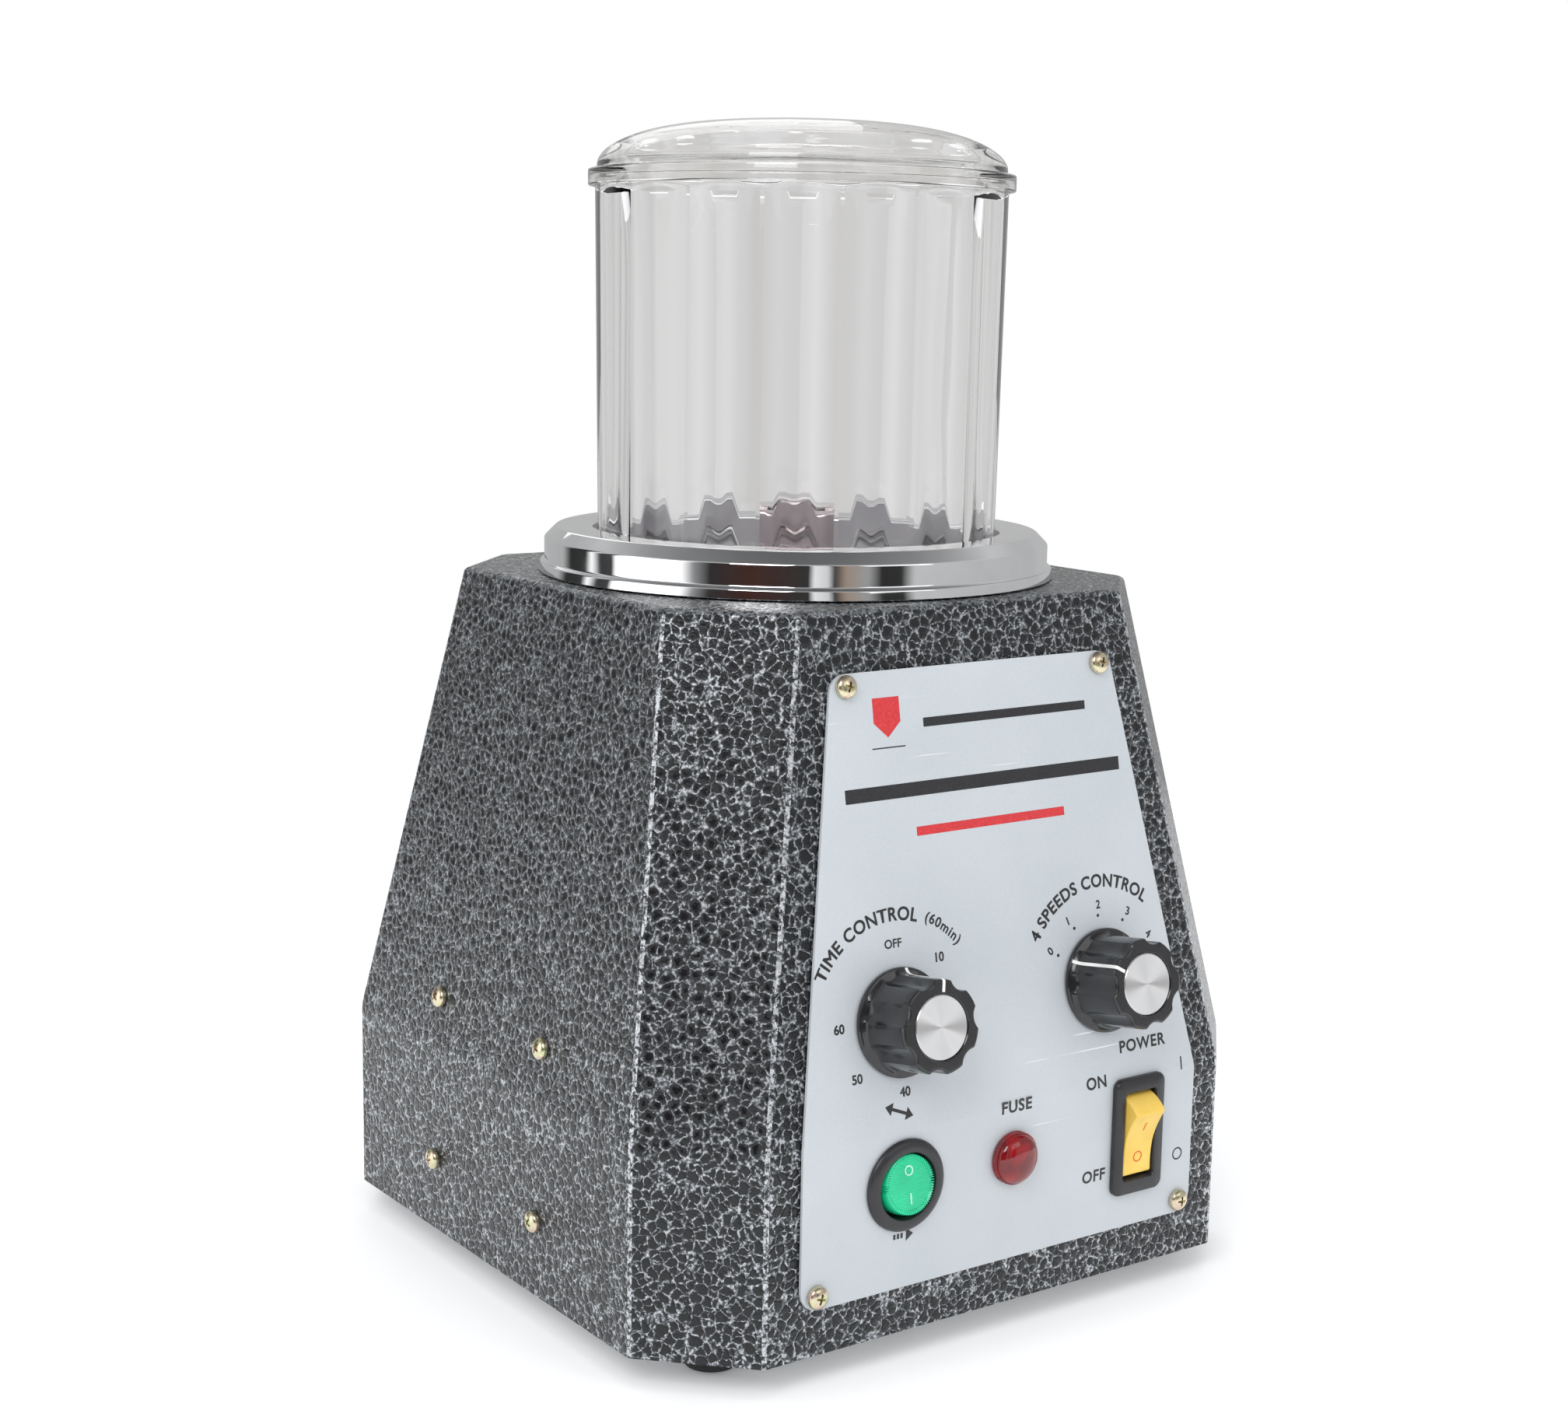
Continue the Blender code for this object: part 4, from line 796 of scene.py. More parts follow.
def raised(name, marks, height):
    """Joins flat marks, each (mesh, frame), and gives them a height, as one closed mesh."""
    made = bmesh.new()
    for mesh, place in marks:
        part = mesh.copy()
        part.transform(place)
        made.from_mesh(part)
    bmesh.ops.remove_doubles(made, verts=made.verts, dist=1e-6)
    mesh = bpy.data.meshes.new(name)
    made.to_mesh(mesh)
    made.free()
    thing = set_down(name + "_flat", mesh)
    thick = thing.modifiers.new("height", "SOLIDIFY")
    thick.thickness = height
    thick.offset = 1
    solid = applied(thing)
    bpy.data.objects.remove(thing)
    return solid


def ring_mark(radius, width, steps=40):
    mesh = bpy.data.meshes.new("ring")
    points = [(x, y, 0) for reach in (radius, radius - width) for x, y in disc(reach, steps)]
    faces = [(i, (i + 1) % steps, steps + (i + 1) % steps, steps + i) for i in range(steps)]
    mesh.from_pydata(points, [], faces)
    return mesh


def bar(width, height):
    return flat_shape(oblong(width, height))


def on_dial(place, radius, degrees):
    """A spot round a knob, clockwise from straight up."""
    a = math.radians(degrees)
    return place @ at(radius * math.sin(a), radius * math.cos(a), plate_face)


def round_dial(place, degrees):
    """Turns lettering that is arched over a knob, clockwise by this much."""
    return place @ at(0, 0, plate_face) @ Matrix.Rotation(-math.radians(degrees), 4, "Z")


def on_wall(x, up):
    return front_wall @ at(x, up, plate_face)


def on_skirt(x, up):
    """A spot on the plate's upright part, given its height over the bench."""
    return front_skirt @ at(x, up - waist, plate_face)


digit = 0.0024
figure = 0.0022
caption = 0.0034
label = 0.0032
arch = 0.0258
printed = [
    (words("OFF", figure, 0.004), on_dial(timer_place, 0.0188, 0)),
    (words("10", digit, 0.010), on_dial(timer_place, 0.0194, 45)),
    (words("40", digit, 0.010), on_dial(timer_place, 0.0167, 180)),
    (words("50", digit, 0.010), on_dial(timer_place, 0.0179, -130)),
    (words("60", digit, 0.010), on_dial(timer_place, 0.0178, -87)),
    (arched(words("TIME CONTROL", caption, 0.010, 1.10), arch), round_dial(timer_place, -21)),
    (arched(words("(60min)", caption, 0.006, 1.14), arch), round_dial(timer_place, 37)),
    (arched(words("4 SPEEDS CONTROL", caption, 0.010, 1.10), 0.0252), round_dial(speed_place, -9)),
    (words("POWER", label, 0.008, 1.12), on_wall(0.0452, 0.0087)),
    (words("FUSE", label, 0.008, 1.12), on_skirt(0.0022, 0.0588)),
    (words("ON", label, 0.008, 1.08), on_wall(0.0286, 0.0011)),
    (words("OFF", label, 0.008, 1.08), on_skirt(0.0287, 0.0353)),
    (bar(0.00045, 0.0034), on_wall(0.0581, 0.0013)),
    (ring_mark(0.0017, 0.0004), on_skirt(0.0579, 0.0356)),
]
# Where each speed's figure and its dot stand round the knob, in degrees
speed_bearings = [(-60, -60), (-32, -30), (1, 0), (32, 30), (60, 60)]
for number, (figure_bearing, dot_bearing) in enumerate(speed_bearings):
    leaning = Matrix.Rotation(-math.radians(figure_bearing * 0.6), 4, "Z")
    written = words(str(number), figure, 0.006)
    printed.append((written, on_dial(speed_place, 0.0192, figure_bearing) @ leaning))
    printed.append((flat_shape(disc(0.00042, 16)), on_dial(speed_place, 0.0164, dot_bearing)))

# A two-way arrow over the direction switch, and a block arrow under it
point = 0.0022
switch_x = joints["direction_rock"]["pos_m"][0]
arrow_place = on_wall(switch_x - 0.0014, 0.0050) @ Matrix.Rotation(math.radians(-22), 4, "Z")
head_right = flat_shape([(0, -0.0016), (point, 0), (0, 0.0016)])
head_left = flat_shape([(0, 0.0016), (-point, 0), (0, -0.0016)])
printed += [
    (bar(2 * point, 0.0008), arrow_place),
    (head_right, arrow_place @ at(point)),
    (head_left, arrow_place @ at(-point)),
]
for k in range(3):
    printed.append((bar(0.0007, 0.0013), on_skirt(switch_x - 0.0026 + 0.0011 * k, 0.0327)))
printed.append((head_right, on_skirt(switch_x + 0.0009, 0.0327)))
# Plain bars stand where a maker's title would be
printed += [
    (bar(0.0870, 0.0034), on_wall(0.0011, 0.0808)),
    (bar(0.0520, 0.0022), on_wall(0.0086, 0.0965)),
    (bar(0.0100, 0.0003), on_wall(-0.0283, 0.0914)),
]
shield = [(-0.0040, -0.0010), (0, -0.0046), (0.0040, -0.0010), (0.0040, 0.0050), (-0.0040, 0.0050)]
red_marks = [
    (bar(0.0470, 0.0022), on_wall(0.0015, 0.0706)),
    (flat_shape(shield), on_wall(-0.0283, 0.0984)),
]
for name, marks, colour in (
    ("printed_black", printed, black_ink),
    ("printed_red", red_marks, red_ink),
):
    piece(name, raised(name, marks, ink_height), colour, "housing", "plate_paint")


# ---- Screws ------------------------------------------------------------------------------------------
# Pan-head machine screws with a cross recess, zinc-plated and yellow-passivated. Four hold the control
# plate, four a side hold the base plate and the motor bracket, and two hold the motor.

head_radius = 0.0028
head_height = 0.0021
shank_radius = 0.0015
shank_length = 0.0060
recess_reach = 0.0016
recess_width = 0.00062


def yellow_zinc():
    """A gold plating that drifts to green and pink, in rings left by the turning."""
    material, tree, shader = finish_named("yellow_zinc")
    where = place_on(tree)
    film = noise(tree, where, 420, 3.0, 0.6, 0.8)
    tints = [
        (0.25, (0.46, 0.52, 0.30)),
        (0.45, (0.74, 0.69, 0.46)),
        (0.62, (0.70, 0.52, 0.44)),
        (0.78, (0.58, 0.66, 0.46)),
    ]
    fine = noise(tree, where, 6000, 2.0)
    look = {
        "Base Color": ramp(tree, film, tints),
        "Metallic": 1.0,
        "Roughness": spread(tree, fine, 0.3, 0.7, 0.16, 0.32),
    }
    fill(tree, shader, look)
    relief(tree, shader, fine, 0.10, 0.00005)
    return material


def cross_head_screw():
    """A low domed head over a plain shank, with a cross cut into it that tapers to its floor."""
    dome = []
    for i in range(9):
        a = math.pi / 2 * (1 - i / 8)
        dome.append((head_radius * math.cos(a), head_height * (0.35 + 0.65 * math.sin(a))))
    dome[0] = (0, head_height)
    profile = [
        *dome,
        (head_radius, 0.0001),
        (head_radius - 0.0001, 0),
        (shank_radius, 0),
        (shank_radius, -shank_length + 0.0003),
        (shank_radius - 0.0003, -shank_length),
        (0, -shank_length),
    ]
    screw = set_down("cross_head_screw", turned("cross_head_screw", profile, 40))
    floor = oblong(recess_reach * 2 * 0.45, recess_width * 0.6)
    mouth = oblong(recess_reach * 2, recess_width)
    slots = []
    for turn in (0, math.pi / 2):
        lean = Matrix.Rotation(turn, 4, "Z")
        ends = ((floor, head_height - 0.0013), (mouth, head_height + 0.0004))
        slots.append([[lean @ Vector((x, y, level)) for x, y in outline] for outline, level in ends])
    cut_away(screw, "cross", slots, crossing=True)
    mesh = smooth(screw.data, 38)
    bpy.data.objects.remove(screw)
    return mesh


gold = yellow_zinc()
screw_shift = at(0, 0, (shank_length - head_height) / 2)
screw_frames = [screw_places[name] @ screw_shift for name in screw_names]
screws = set_out_copies("screws", cross_head_screw(), screw_frames, gold, chance_turn=1.57, seed=11)
piece("screws", smooth(screws, 38), gold, "housing", "yellow_zinc", *screw_names)


# ---- Knobs -------------------------------------------------------------------------------------------
# Two moulded phenolic knobs with seven lobes over a flared skirt, a white-filled pointer line, and a
# spun aluminium disc let into the face. Each is pressed on its control's shaft over a hexagon nut.

knob_radius = 0.0114
skirt_radius = 0.0132
knob_base = 0.0016
knob_height = 0.0158
lobes = 7
flute_radius = 0.0044
flute_depth = 0.00135
cap_radius = 0.00765

knob_side = [
    (skirt_radius - 0.0002, 0.0),
    (skirt_radius, 0.0002),
    (skirt_radius, 0.0010),
    (skirt_radius - 0.0002, 0.0013),
    (skirt_radius - 0.0006, 0.0014),
    (0.0121, 0.0019),
    (0.01175, 0.0025),
    (0.01155, 0.0033),
    (0.01148, 0.0042),
    (0.01142, 0.0055),
    (0.01140, 0.0070),
    (0.01134, 0.0110),
    (0.01130, 0.0148),
    (0.01124, 0.0153),
    (0.01108, 0.01562),
    (0.01082, 0.01578),
    (0.01060, 0.01580),
]


def fluted(angle, radius, height):
    """The knob's reach at an angle: its round body, less a flute that scoops out above the skirt."""
    depth = flute_depth * max(0.0, min(1.0, (height - 0.0017) / 0.0034)) ** 0.5
    if depth <= 0 or radius < cap_radius + 0.001:
        return radius
    pitch = 2 * math.pi / lobes
    off = (angle + pitch / 2) % pitch - pitch / 2
    centre = knob_radius - depth + flute_radius
    if abs(centre * math.sin(off)) >= flute_radius:
        return radius
    near = centre * math.cos(off) - math.sqrt(flute_radius**2 - (centre * math.sin(off)) ** 2)
    drawn_in = max(0.0, knob_radius - 0.0001 - radius) if height > 0.015 else 0.0
    return min(radius, near - drawn_in)


def gloss_black():
    """Phenolic moulding: near black, glossy, with faint flow marks and dust-fine pits."""
    material, tree, shader = finish_named("gloss_black")
    where = place_on(tree)
    flow = noise(tree, where, 90, 4.0, 0.6, 1.0)
    pits = noise(tree, where, 3200, 3.0)
    look = {
        "Base Color": ramp(tree, flow, [(0.3, (0.010, 0.010, 0.011)), (0.7, (0.020, 0.020, 0.022))]),
        "Roughness": spread(tree, pits, 0.3, 0.7, 0.13, 0.24),
        "Coat Weight": 0.3,
        "Coat Roughness": 0.05,
    }
    fill(tree, shader, look)
    relief(tree, shader, pits, 0.04, 0.0001)
    return material


def spun_aluminium():
    """Turned metal: fine rings about the disc's middle, which throw its light into two bright wedges."""
    material, tree, shader = finish_named("spun_aluminium")
    rings = add(tree, "ShaderNodeUVMap", uv_map="rings").outputs["UV"]
    apart = add(tree, "ShaderNodeSeparateXYZ", {"Vector": rings})
    line = add(tree, "ShaderNodeCombineXYZ", {"X": 0.0, "Y": apart.outputs["Y"]}).outputs[0]
    groove = noise(tree, line, 160, 3.0, 0.7)
    way = add(tree, "ShaderNodeTangent", direction_type="UV_MAP", uv_map="rings")
    look = {
        "Base Color": ramp(tree, groove, [(0.3, (0.80, 0.80, 0.81)), (0.7, (0.95, 0.95, 0.96))]),
        "Metallic": 1.0,
        "Anisotropic": 0.92,
        "Anisotropic Rotation": 0.25,
        "Roughness": spread(tree, groove, 0.3, 0.7, 0.36, 0.48),
        "Tangent": way.outputs["Tangent"],
    }
    fill(tree, shader, look)
    return material


black_gloss = gloss_black()
aluminium = spun_aluminium()
pointer_white = moulded("pointer_white", (0.80, 0.80, 0.78), 0.45, 2400, 0.2)


def knob_body(name, place, turn):
    """The moulding, hollow underneath over its nut, with a recess for the disc."""
    recess_floor = knob_height - 0.00125
    recess_radius = cap_radius + 0.00022
    nut_room = 0.0077
    shaft_bore = 0.0034
    bore_end = 0.0120
    profile = [
        (0, recess_floor),
        (recess_radius, recess_floor),
        (recess_radius, knob_height - 0.0002),
        (cap_radius + 0.00040, knob_height),
        *reversed(knob_side),
        (0.0118, 0.0),
        (0.0116, 0.0012),
        (nut_room, 0.0022),
        (nut_room, 0.0034),
        (shaft_bore, 0.0036),
        (shaft_bore, bore_end),
        (0, bore_end),
    ]
    # The lobes are set so that one lies under the pointer, which starts straight up
    lobe_turn = Matrix.Rotation(turn + math.pi / 2 + math.pi / lobes, 4, "Z")
    return turned(name, profile, 280, place @ at(0, 0, knob_base) @ lobe_turn, fluted)


def knob_disc(name, place):
    """The spun disc, mapped so that its rings run round it and its reach runs outwards."""
    high = knob_base + knob_height
    dip = 0.00002
    profile = [
        (0, high - 0.0010),
        (cap_radius, high - 0.0010),
        (cap_radius, high - 0.00025),
        (cap_radius - 0.00025, high),
        *((cap_radius * share, high - dip * (1 - share)) for share in (0.85, 0.6, 0.35, 0.12)),
        (0, high - dip),
    ]
    mesh = turned(name, profile, 96, place)
    back = place.inverted()
    layer = mesh.uv_layers.new(name="rings")
    for polygon in mesh.polygons:
        spots = [back @ mesh.vertices[mesh.loops[k].vertex_index].co for k in polygon.loop_indices]
        middle = math.atan2(sum(s.y for s in spots), sum(s.x for s in spots))
        for k, spot in zip(polygon.loop_indices, spots):
            reach = math.hypot(spot.x, spot.y)
            angle = math.atan2(spot.y, spot.x) if reach > 1e-6 else middle
            off = (angle - middle + math.pi) % (2 * math.pi) - math.pi
            layer.data[k].uv = ((middle + off) / (2 * math.pi) + 0.5, reach / 0.01)
    return mesh


def pointer_line(name, place, turn):
    """The white line: up the skirt's slope, along a lobe and over the face to the disc."""
    path = [(r, z) for r, z in knob_side if z >= 0.0013] + [(cap_radius + 0.0006, knob_height)]
    half = 0.00042
    proud = 0.00003
    sunk = -0.0001
    rings = []
    for i, (radius, height) in enumerate(path):
        before = Vector(path[max(0, i - 1)])
        after = Vector(path[min(len(path) - 1, i + 1)])
        along = (after - before).normalized()
        out = Vector((along.y, -along.x))
        ring = []
        for side, lift in ((-1, proud), (1, proud), (1, sunk), (-1, sunk)):
            spot = (side * half, radius + out.x * lift, knob_base + height + out.y * lift)
            ring.append(Vector(spot))
        rings.append([place @ Matrix.Rotation(turn, 4, "Z") @ point for point in ring])
    return smooth(loft(name, rings), 50)


for name, place, turn in (
    ("timer_knob", timer_place, math.radians(-9)),
    ("speed_knob", speed_place, math.radians(60)),
):
    body = knob_body(name + "_moulding", place, turn)
    piece(name + "_moulding", body, black_gloss, name, "black_plastic", name)
    spun = knob_disc(name + "_disc", place)
    piece(name + "_disc", spun, aluminium, name, "aluminium", name + "_cap")
    line = pointer_line(name + "_pointer", place, turn)
    piece(name + "_pointer", line, pointer_white, name, "black_plastic")


# ---- Direction switch --------------------------------------------------------------------------------
# A round snap-in rocker switch: a satin black bezel with a soft rim, and a clear green rocker whose flat
# face is moulded with fine ribs and short teeth round its edge, marked with a ring and a bar.

rest_on_plate = 0.0014
bezel_radius = 0.0115
switch_opening = 0.0083
rocker_rise = 0.0040
rocker_lean = math.radians(10)

satin_black = moulded("satin_black", (0.022, 0.022, 0.025), 0.32, 2800, 0.12)
case_depth = 0.0220
well_depth = 0.0092
case_radius = 0.0098
bezel = [
    (0, -case_depth),
    (case_radius - 0.0004, -case_depth),
    (case_radius, -case_depth + 0.0006),
    (case_radius, rest_on_plate),
    (bezel_radius - 0.0001, rest_on_plate),
    (bezel_radius, rest_on_plate + 0.0002),
    (bezel_radius - 0.0001, rest_on_plate + 0.0006),
    (bezel_radius - 0.0004, rest_on_plate + 0.0010),
    (bezel_radius - 0.0010, rest_on_plate + 0.00135),
    (bezel_radius - 0.0019, rest_on_plate + 0.00158),
    (switch_opening + 0.0004, rest_on_plate + 0.0016),
    (switch_opening + 0.0001, rest_on_plate + 0.0015),
    (switch_opening, rest_on_plate + 0.0012),
    (switch_opening, -well_depth),
    (0, -well_depth),
]
name = "direction_switch_case"
case_mesh = turned(name, bezel, 128, direction_place)
piece(name, case_mesh, satin_black, "housing", "black_plastic", "direction_switch_body")


def clear_green():
    """Tinted clear plastic in random patches of green, darkened by painted shade where it is seen
    edge-on, with a faint painted glow.
    """
    material, tree, shader = finish_named("clear_green")
    where = place_on(tree)
    cloud = noise(tree, where, 300, 3.0)
    # Painted shade: the green turns darker where the face is seen edge-on
    facing = add(tree, "ShaderNodeLayerWeight", {"Blend": 0.35}).outputs["Facing"]
    patch = math_of(tree, "MULTIPLY", cloud, 0.35)
    painted_edge_shade = math_of(tree, "MULTIPLY", facing, 0.5)
    tone = math_of(tree, "ADD", patch, painted_edge_shade)
    greens = [(0.10, (0.020, 0.72, 0.36)), (0.42, (0.008, 0.50, 0.23)), (0.78, (0.001, 0.10, 0.045))]
    look = {
        "Base Color": ramp(tree, tone, greens),
        "Roughness": 0.16,
        "Transmission Weight": 0.25,
        "IOR": 1.49,
        "Coat Weight": 0.4,
        # The faint emission is a painted glow; the moulding is no lamp
        "Emission Color": (0.01, 0.55, 0.25, 1),
        "Emission Strength": 0.06,
    }
    fill(tree, shader, look)
    skin = noise(tree, where, 1500, 2.0)
    relief(tree, shader, skin, 0.08, 0.0001)
    return material


green = clear_green()
# The ribs and teeth take a lighter copy of the green, a painted highlight where they stand up from the
# face
rib_green = moulded("rib_green", (0.045, 0.70, 0.40), 0.22, 2600, 0.1, 0.4)
mint = moulded("mint_mark", (0.45, 0.78, 0.62), 0.4, 2600, 0.1)
rocker_place = direction_place @ at(0, 0, -0.0003) @ Matrix.Rotation(-rocker_lean, 4, "X")
green_body = [
    (0, -0.0045),
    (0.0055, -0.0045),
    (0.0068, -0.0028),
    (0.0075, -0.0010),
    (0.0076, 0.0005),
    (0.00755, 0.0020),
    (0.0073, rocker_rise - 0.0009),
    (0.0071, rocker_rise - 0.0004),
    (0.0067, rocker_rise - 0.0002),
    (0.0064, rocker_rise - 0.0005),
    (0, rocker_rise - 0.0005),
]


def rocker_notch(angle, radius, height):
    """A small notch at each side of the rocker, where its pivots are pressed in."""
    side = abs(abs(math.cos(angle)) - 1)
    return radius - 0.0006 if side < 0.006 and radius > 0.006 and height > 0.001 else radius


name = "direction_rocker_moulding"
green_mesh = turned(name, green_body, 144, rocker_place, rocker_notch)
piece(name, green_mesh, green, "direction_rocker", "green_plastic", "direction_rocker")


def strip(name, section, start, end):
    """A short straight bar along X with this section across it, given as (y, z) points."""
    return loft(name, [[(x, y, z) for y, z in section] for x in (start, end)])


def round_about(count, place, spot):
    """Places in a ring about a frame's Z, each the same spot turned round it."""
    turns = [Matrix.Rotation(2 * math.pi * k / count, 4, "Z") for k in range(count)]
    return [place @ turn @ spot for turn in turns]


rib_pitch = 0.00052
rib_reach = 0.0063
rib_level = rocker_rise - 0.00045
rib_section = [
    (-0.00019, -0.00025),
    (0.00019, -0.00025),
    (0.00012, 0.00006),
    (0, 0.00016),
    (-0.00012, 0.00006),
]
rib_mesh = strip("face_rib", rib_section, -0.5, 0.5)
rib_places = []
rib_sizes = []
ribs_a_side = int(0.0061 / rib_pitch)
for k in range(-ribs_a_side, ribs_a_side + 1):
    y = k * rib_pitch
    rib_places.append(rocker_place @ at(0, y, rib_level))
    rib_sizes.append((2 * math.sqrt(rib_reach**2 - y * y), 1, 1))
ribs = set_out_copies("direction_rocker_ribs", rib_mesh, rib_places, rib_green, rib_sizes)
piece("direction_rocker_ribs", ribs, rib_green, "direction_rocker", "green_plastic")

tooth_section = [(-0.00013, -0.0003), (0.00013, -0.0003), (0.00006, 0.00010), (-0.00006, 0.00010)]
tooth_mesh = strip("rim_tooth", tooth_section, -0.0005, 0.0005)
tooth_places = round_about(72, rocker_place, at(0.0067, 0, rocker_rise - 0.0002))
teeth = set_out_copies("direction_rocker_teeth", tooth_mesh, tooth_places, rib_green)
piece("direction_rocker_teeth", teeth, rib_green, "direction_rocker", "green_plastic")

mark_offset = 0.0034
switch_marks = [
    (ring_mark(0.00125, 0.00032), rocker_place @ at(0, mark_offset, rib_level)),
    (bar(0.00034, 0.0027), rocker_place @ at(0, -mark_offset, rib_level)),
]
mark_mesh = raised("direction_rocker_marks", switch_marks, 0.00022)
piece("direction_rocker_marks", mark_mesh, mint, "direction_rocker", "green_plastic")


# ---- Power switch ------------------------------------------------------------------------------------
# An upright rocker switch in a satin black bezel. Its yellow rocker has a dished face and two proud
# ends, tips about a pin across the case, and carries a printed bar and ring.

power_bezel = (0.0168, 0.0310)
power_opening = (0.0104, 0.0232)
power_body = (0.0140, 0.0270)
power_well = 0.0094
bezel_top = rest_on_plate + 0.0016


def switch_ring(sides, spare, radius, level):
    """A rounded oblong ring of the power switch, larger than its sides by a little, over the wall."""
    width, height = (side + spare for side in sides)
    return [power_place @ Vector((x, y, level)) for x, y in oblong(width, height, radius, 6)]


bezel_rings = [
    switch_ring(power_body, 0, 0.0008, -case_depth),
    switch_ring(power_body, 0, 0.0008, rest_on_plate),
    switch_ring(power_bezel, 0, 0.0024, rest_on_plate),
    switch_ring(power_bezel, 0, 0.0024, bezel_top - 0.0007),
    switch_ring(power_bezel, -0.0003, 0.0023, bezel_top - 0.0003),
    switch_ring(power_bezel, -0.0010, 0.0021, bezel_top),
    switch_ring(power_opening, 0.0006, 0.0011, bezel_top),
    switch_ring(power_opening, 0.0001, 0.0009, bezel_top - 0.0003),
    switch_ring(power_opening, 0, 0.0008, bezel_top - 0.0006),
    switch_ring(power_opening, 0, 0.0008, -power_well),
]
power_case = smooth(loft("power_switch_case", bezel_rings), 40)
piece("power_switch_case", power_case, satin_black, "housing", "black_plastic", "power_switch_body")

rocker_reach = 0.0113
rocker_spread = math.radians(53)
rocker_dish = 0.0017
rocker_depth = 0.0060
rocker_half = power_opening[0] / 2 - 0.0003
yellow_place = power_place @ at(0, 0, -0.0019) @ Matrix.Rotation(math.radians(15), 4, "X")


def satin_yellow():
    """Yellow moulding, a little soft to the light."""
    material, tree, shader = finish_named("satin_yellow")
    where = place_on(tree)
    cloud = noise(tree, where, 160, 3.0)
    skin = noise(tree, where, 3000, 3.0)
    look = {
        "Base Color": ramp(tree, cloud, [(0.3, (0.80, 0.52, 0.085)), (0.7, (0.86, 0.60, 0.13))]),
        "Roughness": spread(tree, skin, 0.3, 0.7, 0.30, 0.42),
        "Subsurface Weight": 0.08,
        "Subsurface Radius": (0.001, 0.0006, 0.0002),
    }
    fill(tree, shader, look)
    relief(tree, shader, skin, 0.10, 0.0001)
    return material


tip_up = rocker_reach * math.sin(rocker_spread)
tip_out = rocker_reach * math.cos(rocker_spread)
dish_curve = 1.7


def face_out(share):
    """How far out the dished face stands, at a share of the way from its middle to a tip."""
    return tip_out - rocker_dish * (1 - abs(share) ** dish_curve)


def rocker_outline():
    """The rocker from its side: a dished face between two tips, and round ends down to its back."""
    shares = [-1 + i / 10 for i in range(21)]
    face = [(tip_up * share, face_out(share)) for share in shares]
    end = math.pi / 2 + math.asin(rocker_depth / rocker_reach) * 0.5
    upper = []
    for i in range(1, 9):
        a = rocker_spread + (end - rocker_spread) * i / 8
        upper.append((rocker_reach * math.sin(a), rocker_reach * math.cos(a)))
    lower = [(-x, y) for x, y in reversed(upper)]
    heel = rocker_reach * 0.35
    return [*face, *upper, (heel, -rocker_depth), (-heel, -rocker_depth), *lower]


rocker_rings = []
for x in (-rocker_half, rocker_half):
    rocker_rings.append([yellow_place @ Vector((x, up, out)) for up, out in rocker_outline()])
rocker = set_down("power_rocker_blank", loft("power_rocker_blank", rocker_rings))
edges = rocker.modifiers.new("edges", "BEVEL")
edges.width = 0.0005
edges.segments = 3
edges.limit_method = "ANGLE"
edges.angle_limit = math.radians(34)
smooth(applied(rocker), 40)
rocker_mesh = applied(rocker, even=True)
bpy.data.objects.remove(rocker)
yellow = satin_yellow()
piece("power_rocker_moulding", rocker_mesh, yellow, "power_rocker", "yellow_plastic", "power_rocker")

orange_ink = ink("orange_ink", (0.62, 0.13, 0.02))


def on_rocker(up):
    """A spot on the dished face, square to it."""
    share = up / tip_up
    rise = rocker_dish * dish_curve * abs(share) ** (dish_curve - 1)
    slope = math.atan2(math.copysign(rise, share), tip_up)
    return yellow_place @ at(0, up, face_out(share) - 0.00005) @ Matrix.Rotation(slope, 4, "X")


yellow_marks = [
    (bar(0.0004, 0.0026), on_rocker(0.0044)),
    (ring_mark(0.0015, 0.00036), on_rocker(-0.0046)),
]
yellow_mark_mesh = raised("power_rocker_marks", yellow_marks, 0.00012)
piece("power_rocker_marks", yellow_mark_mesh, orange_ink, "power_rocker", "yellow_plastic")


# ---- Fuse --------------------------------------------------------------------------------------------
# A panel fuse holder with a clear red cap, knurled round its rim and domed over. The cap's stem grips a
# glass tube fuse with nickelled ends, which comes out with it.

cap_low, cap_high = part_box("fuse_cap")
fuse_cap_radius = (cap_high.x - cap_low.x) / 2
cap_rim = 0.0016
cap_dome = 0.0030


def clear_red():
    """Tinted clear plastic: bright cherry over a dark holder."""
    material, tree, shader = finish_named("clear_red")
    where = place_on(tree)
    cloud = noise(tree, where, 170, 2.0, 0.5, 0.4)
    reds = [(0.32, (0.13, 0.003, 0.006)), (0.52, (0.27, 0.006, 0.010)), (0.70, (0.40, 0.014, 0.018))]
    look = {
        "Base Color": ramp(tree, cloud, reds),
        "Roughness": 0.10,
        "Transmission Weight": 0.22,
        "IOR": 1.49,
        "Coat Weight": 0.5,
        "Coat Roughness": 0.04,
        # The faint emission is a painted glow; the cap is no lamp
        "Emission Color": (0.5, 0.01, 0.02, 1),
        "Emission Strength": 0.05,
    }
    fill(tree, shader, look)
    skin = noise(tree, where, 500, 1.0)
    relief(tree, shader, skin, 0.04, 0.0001)
    return material


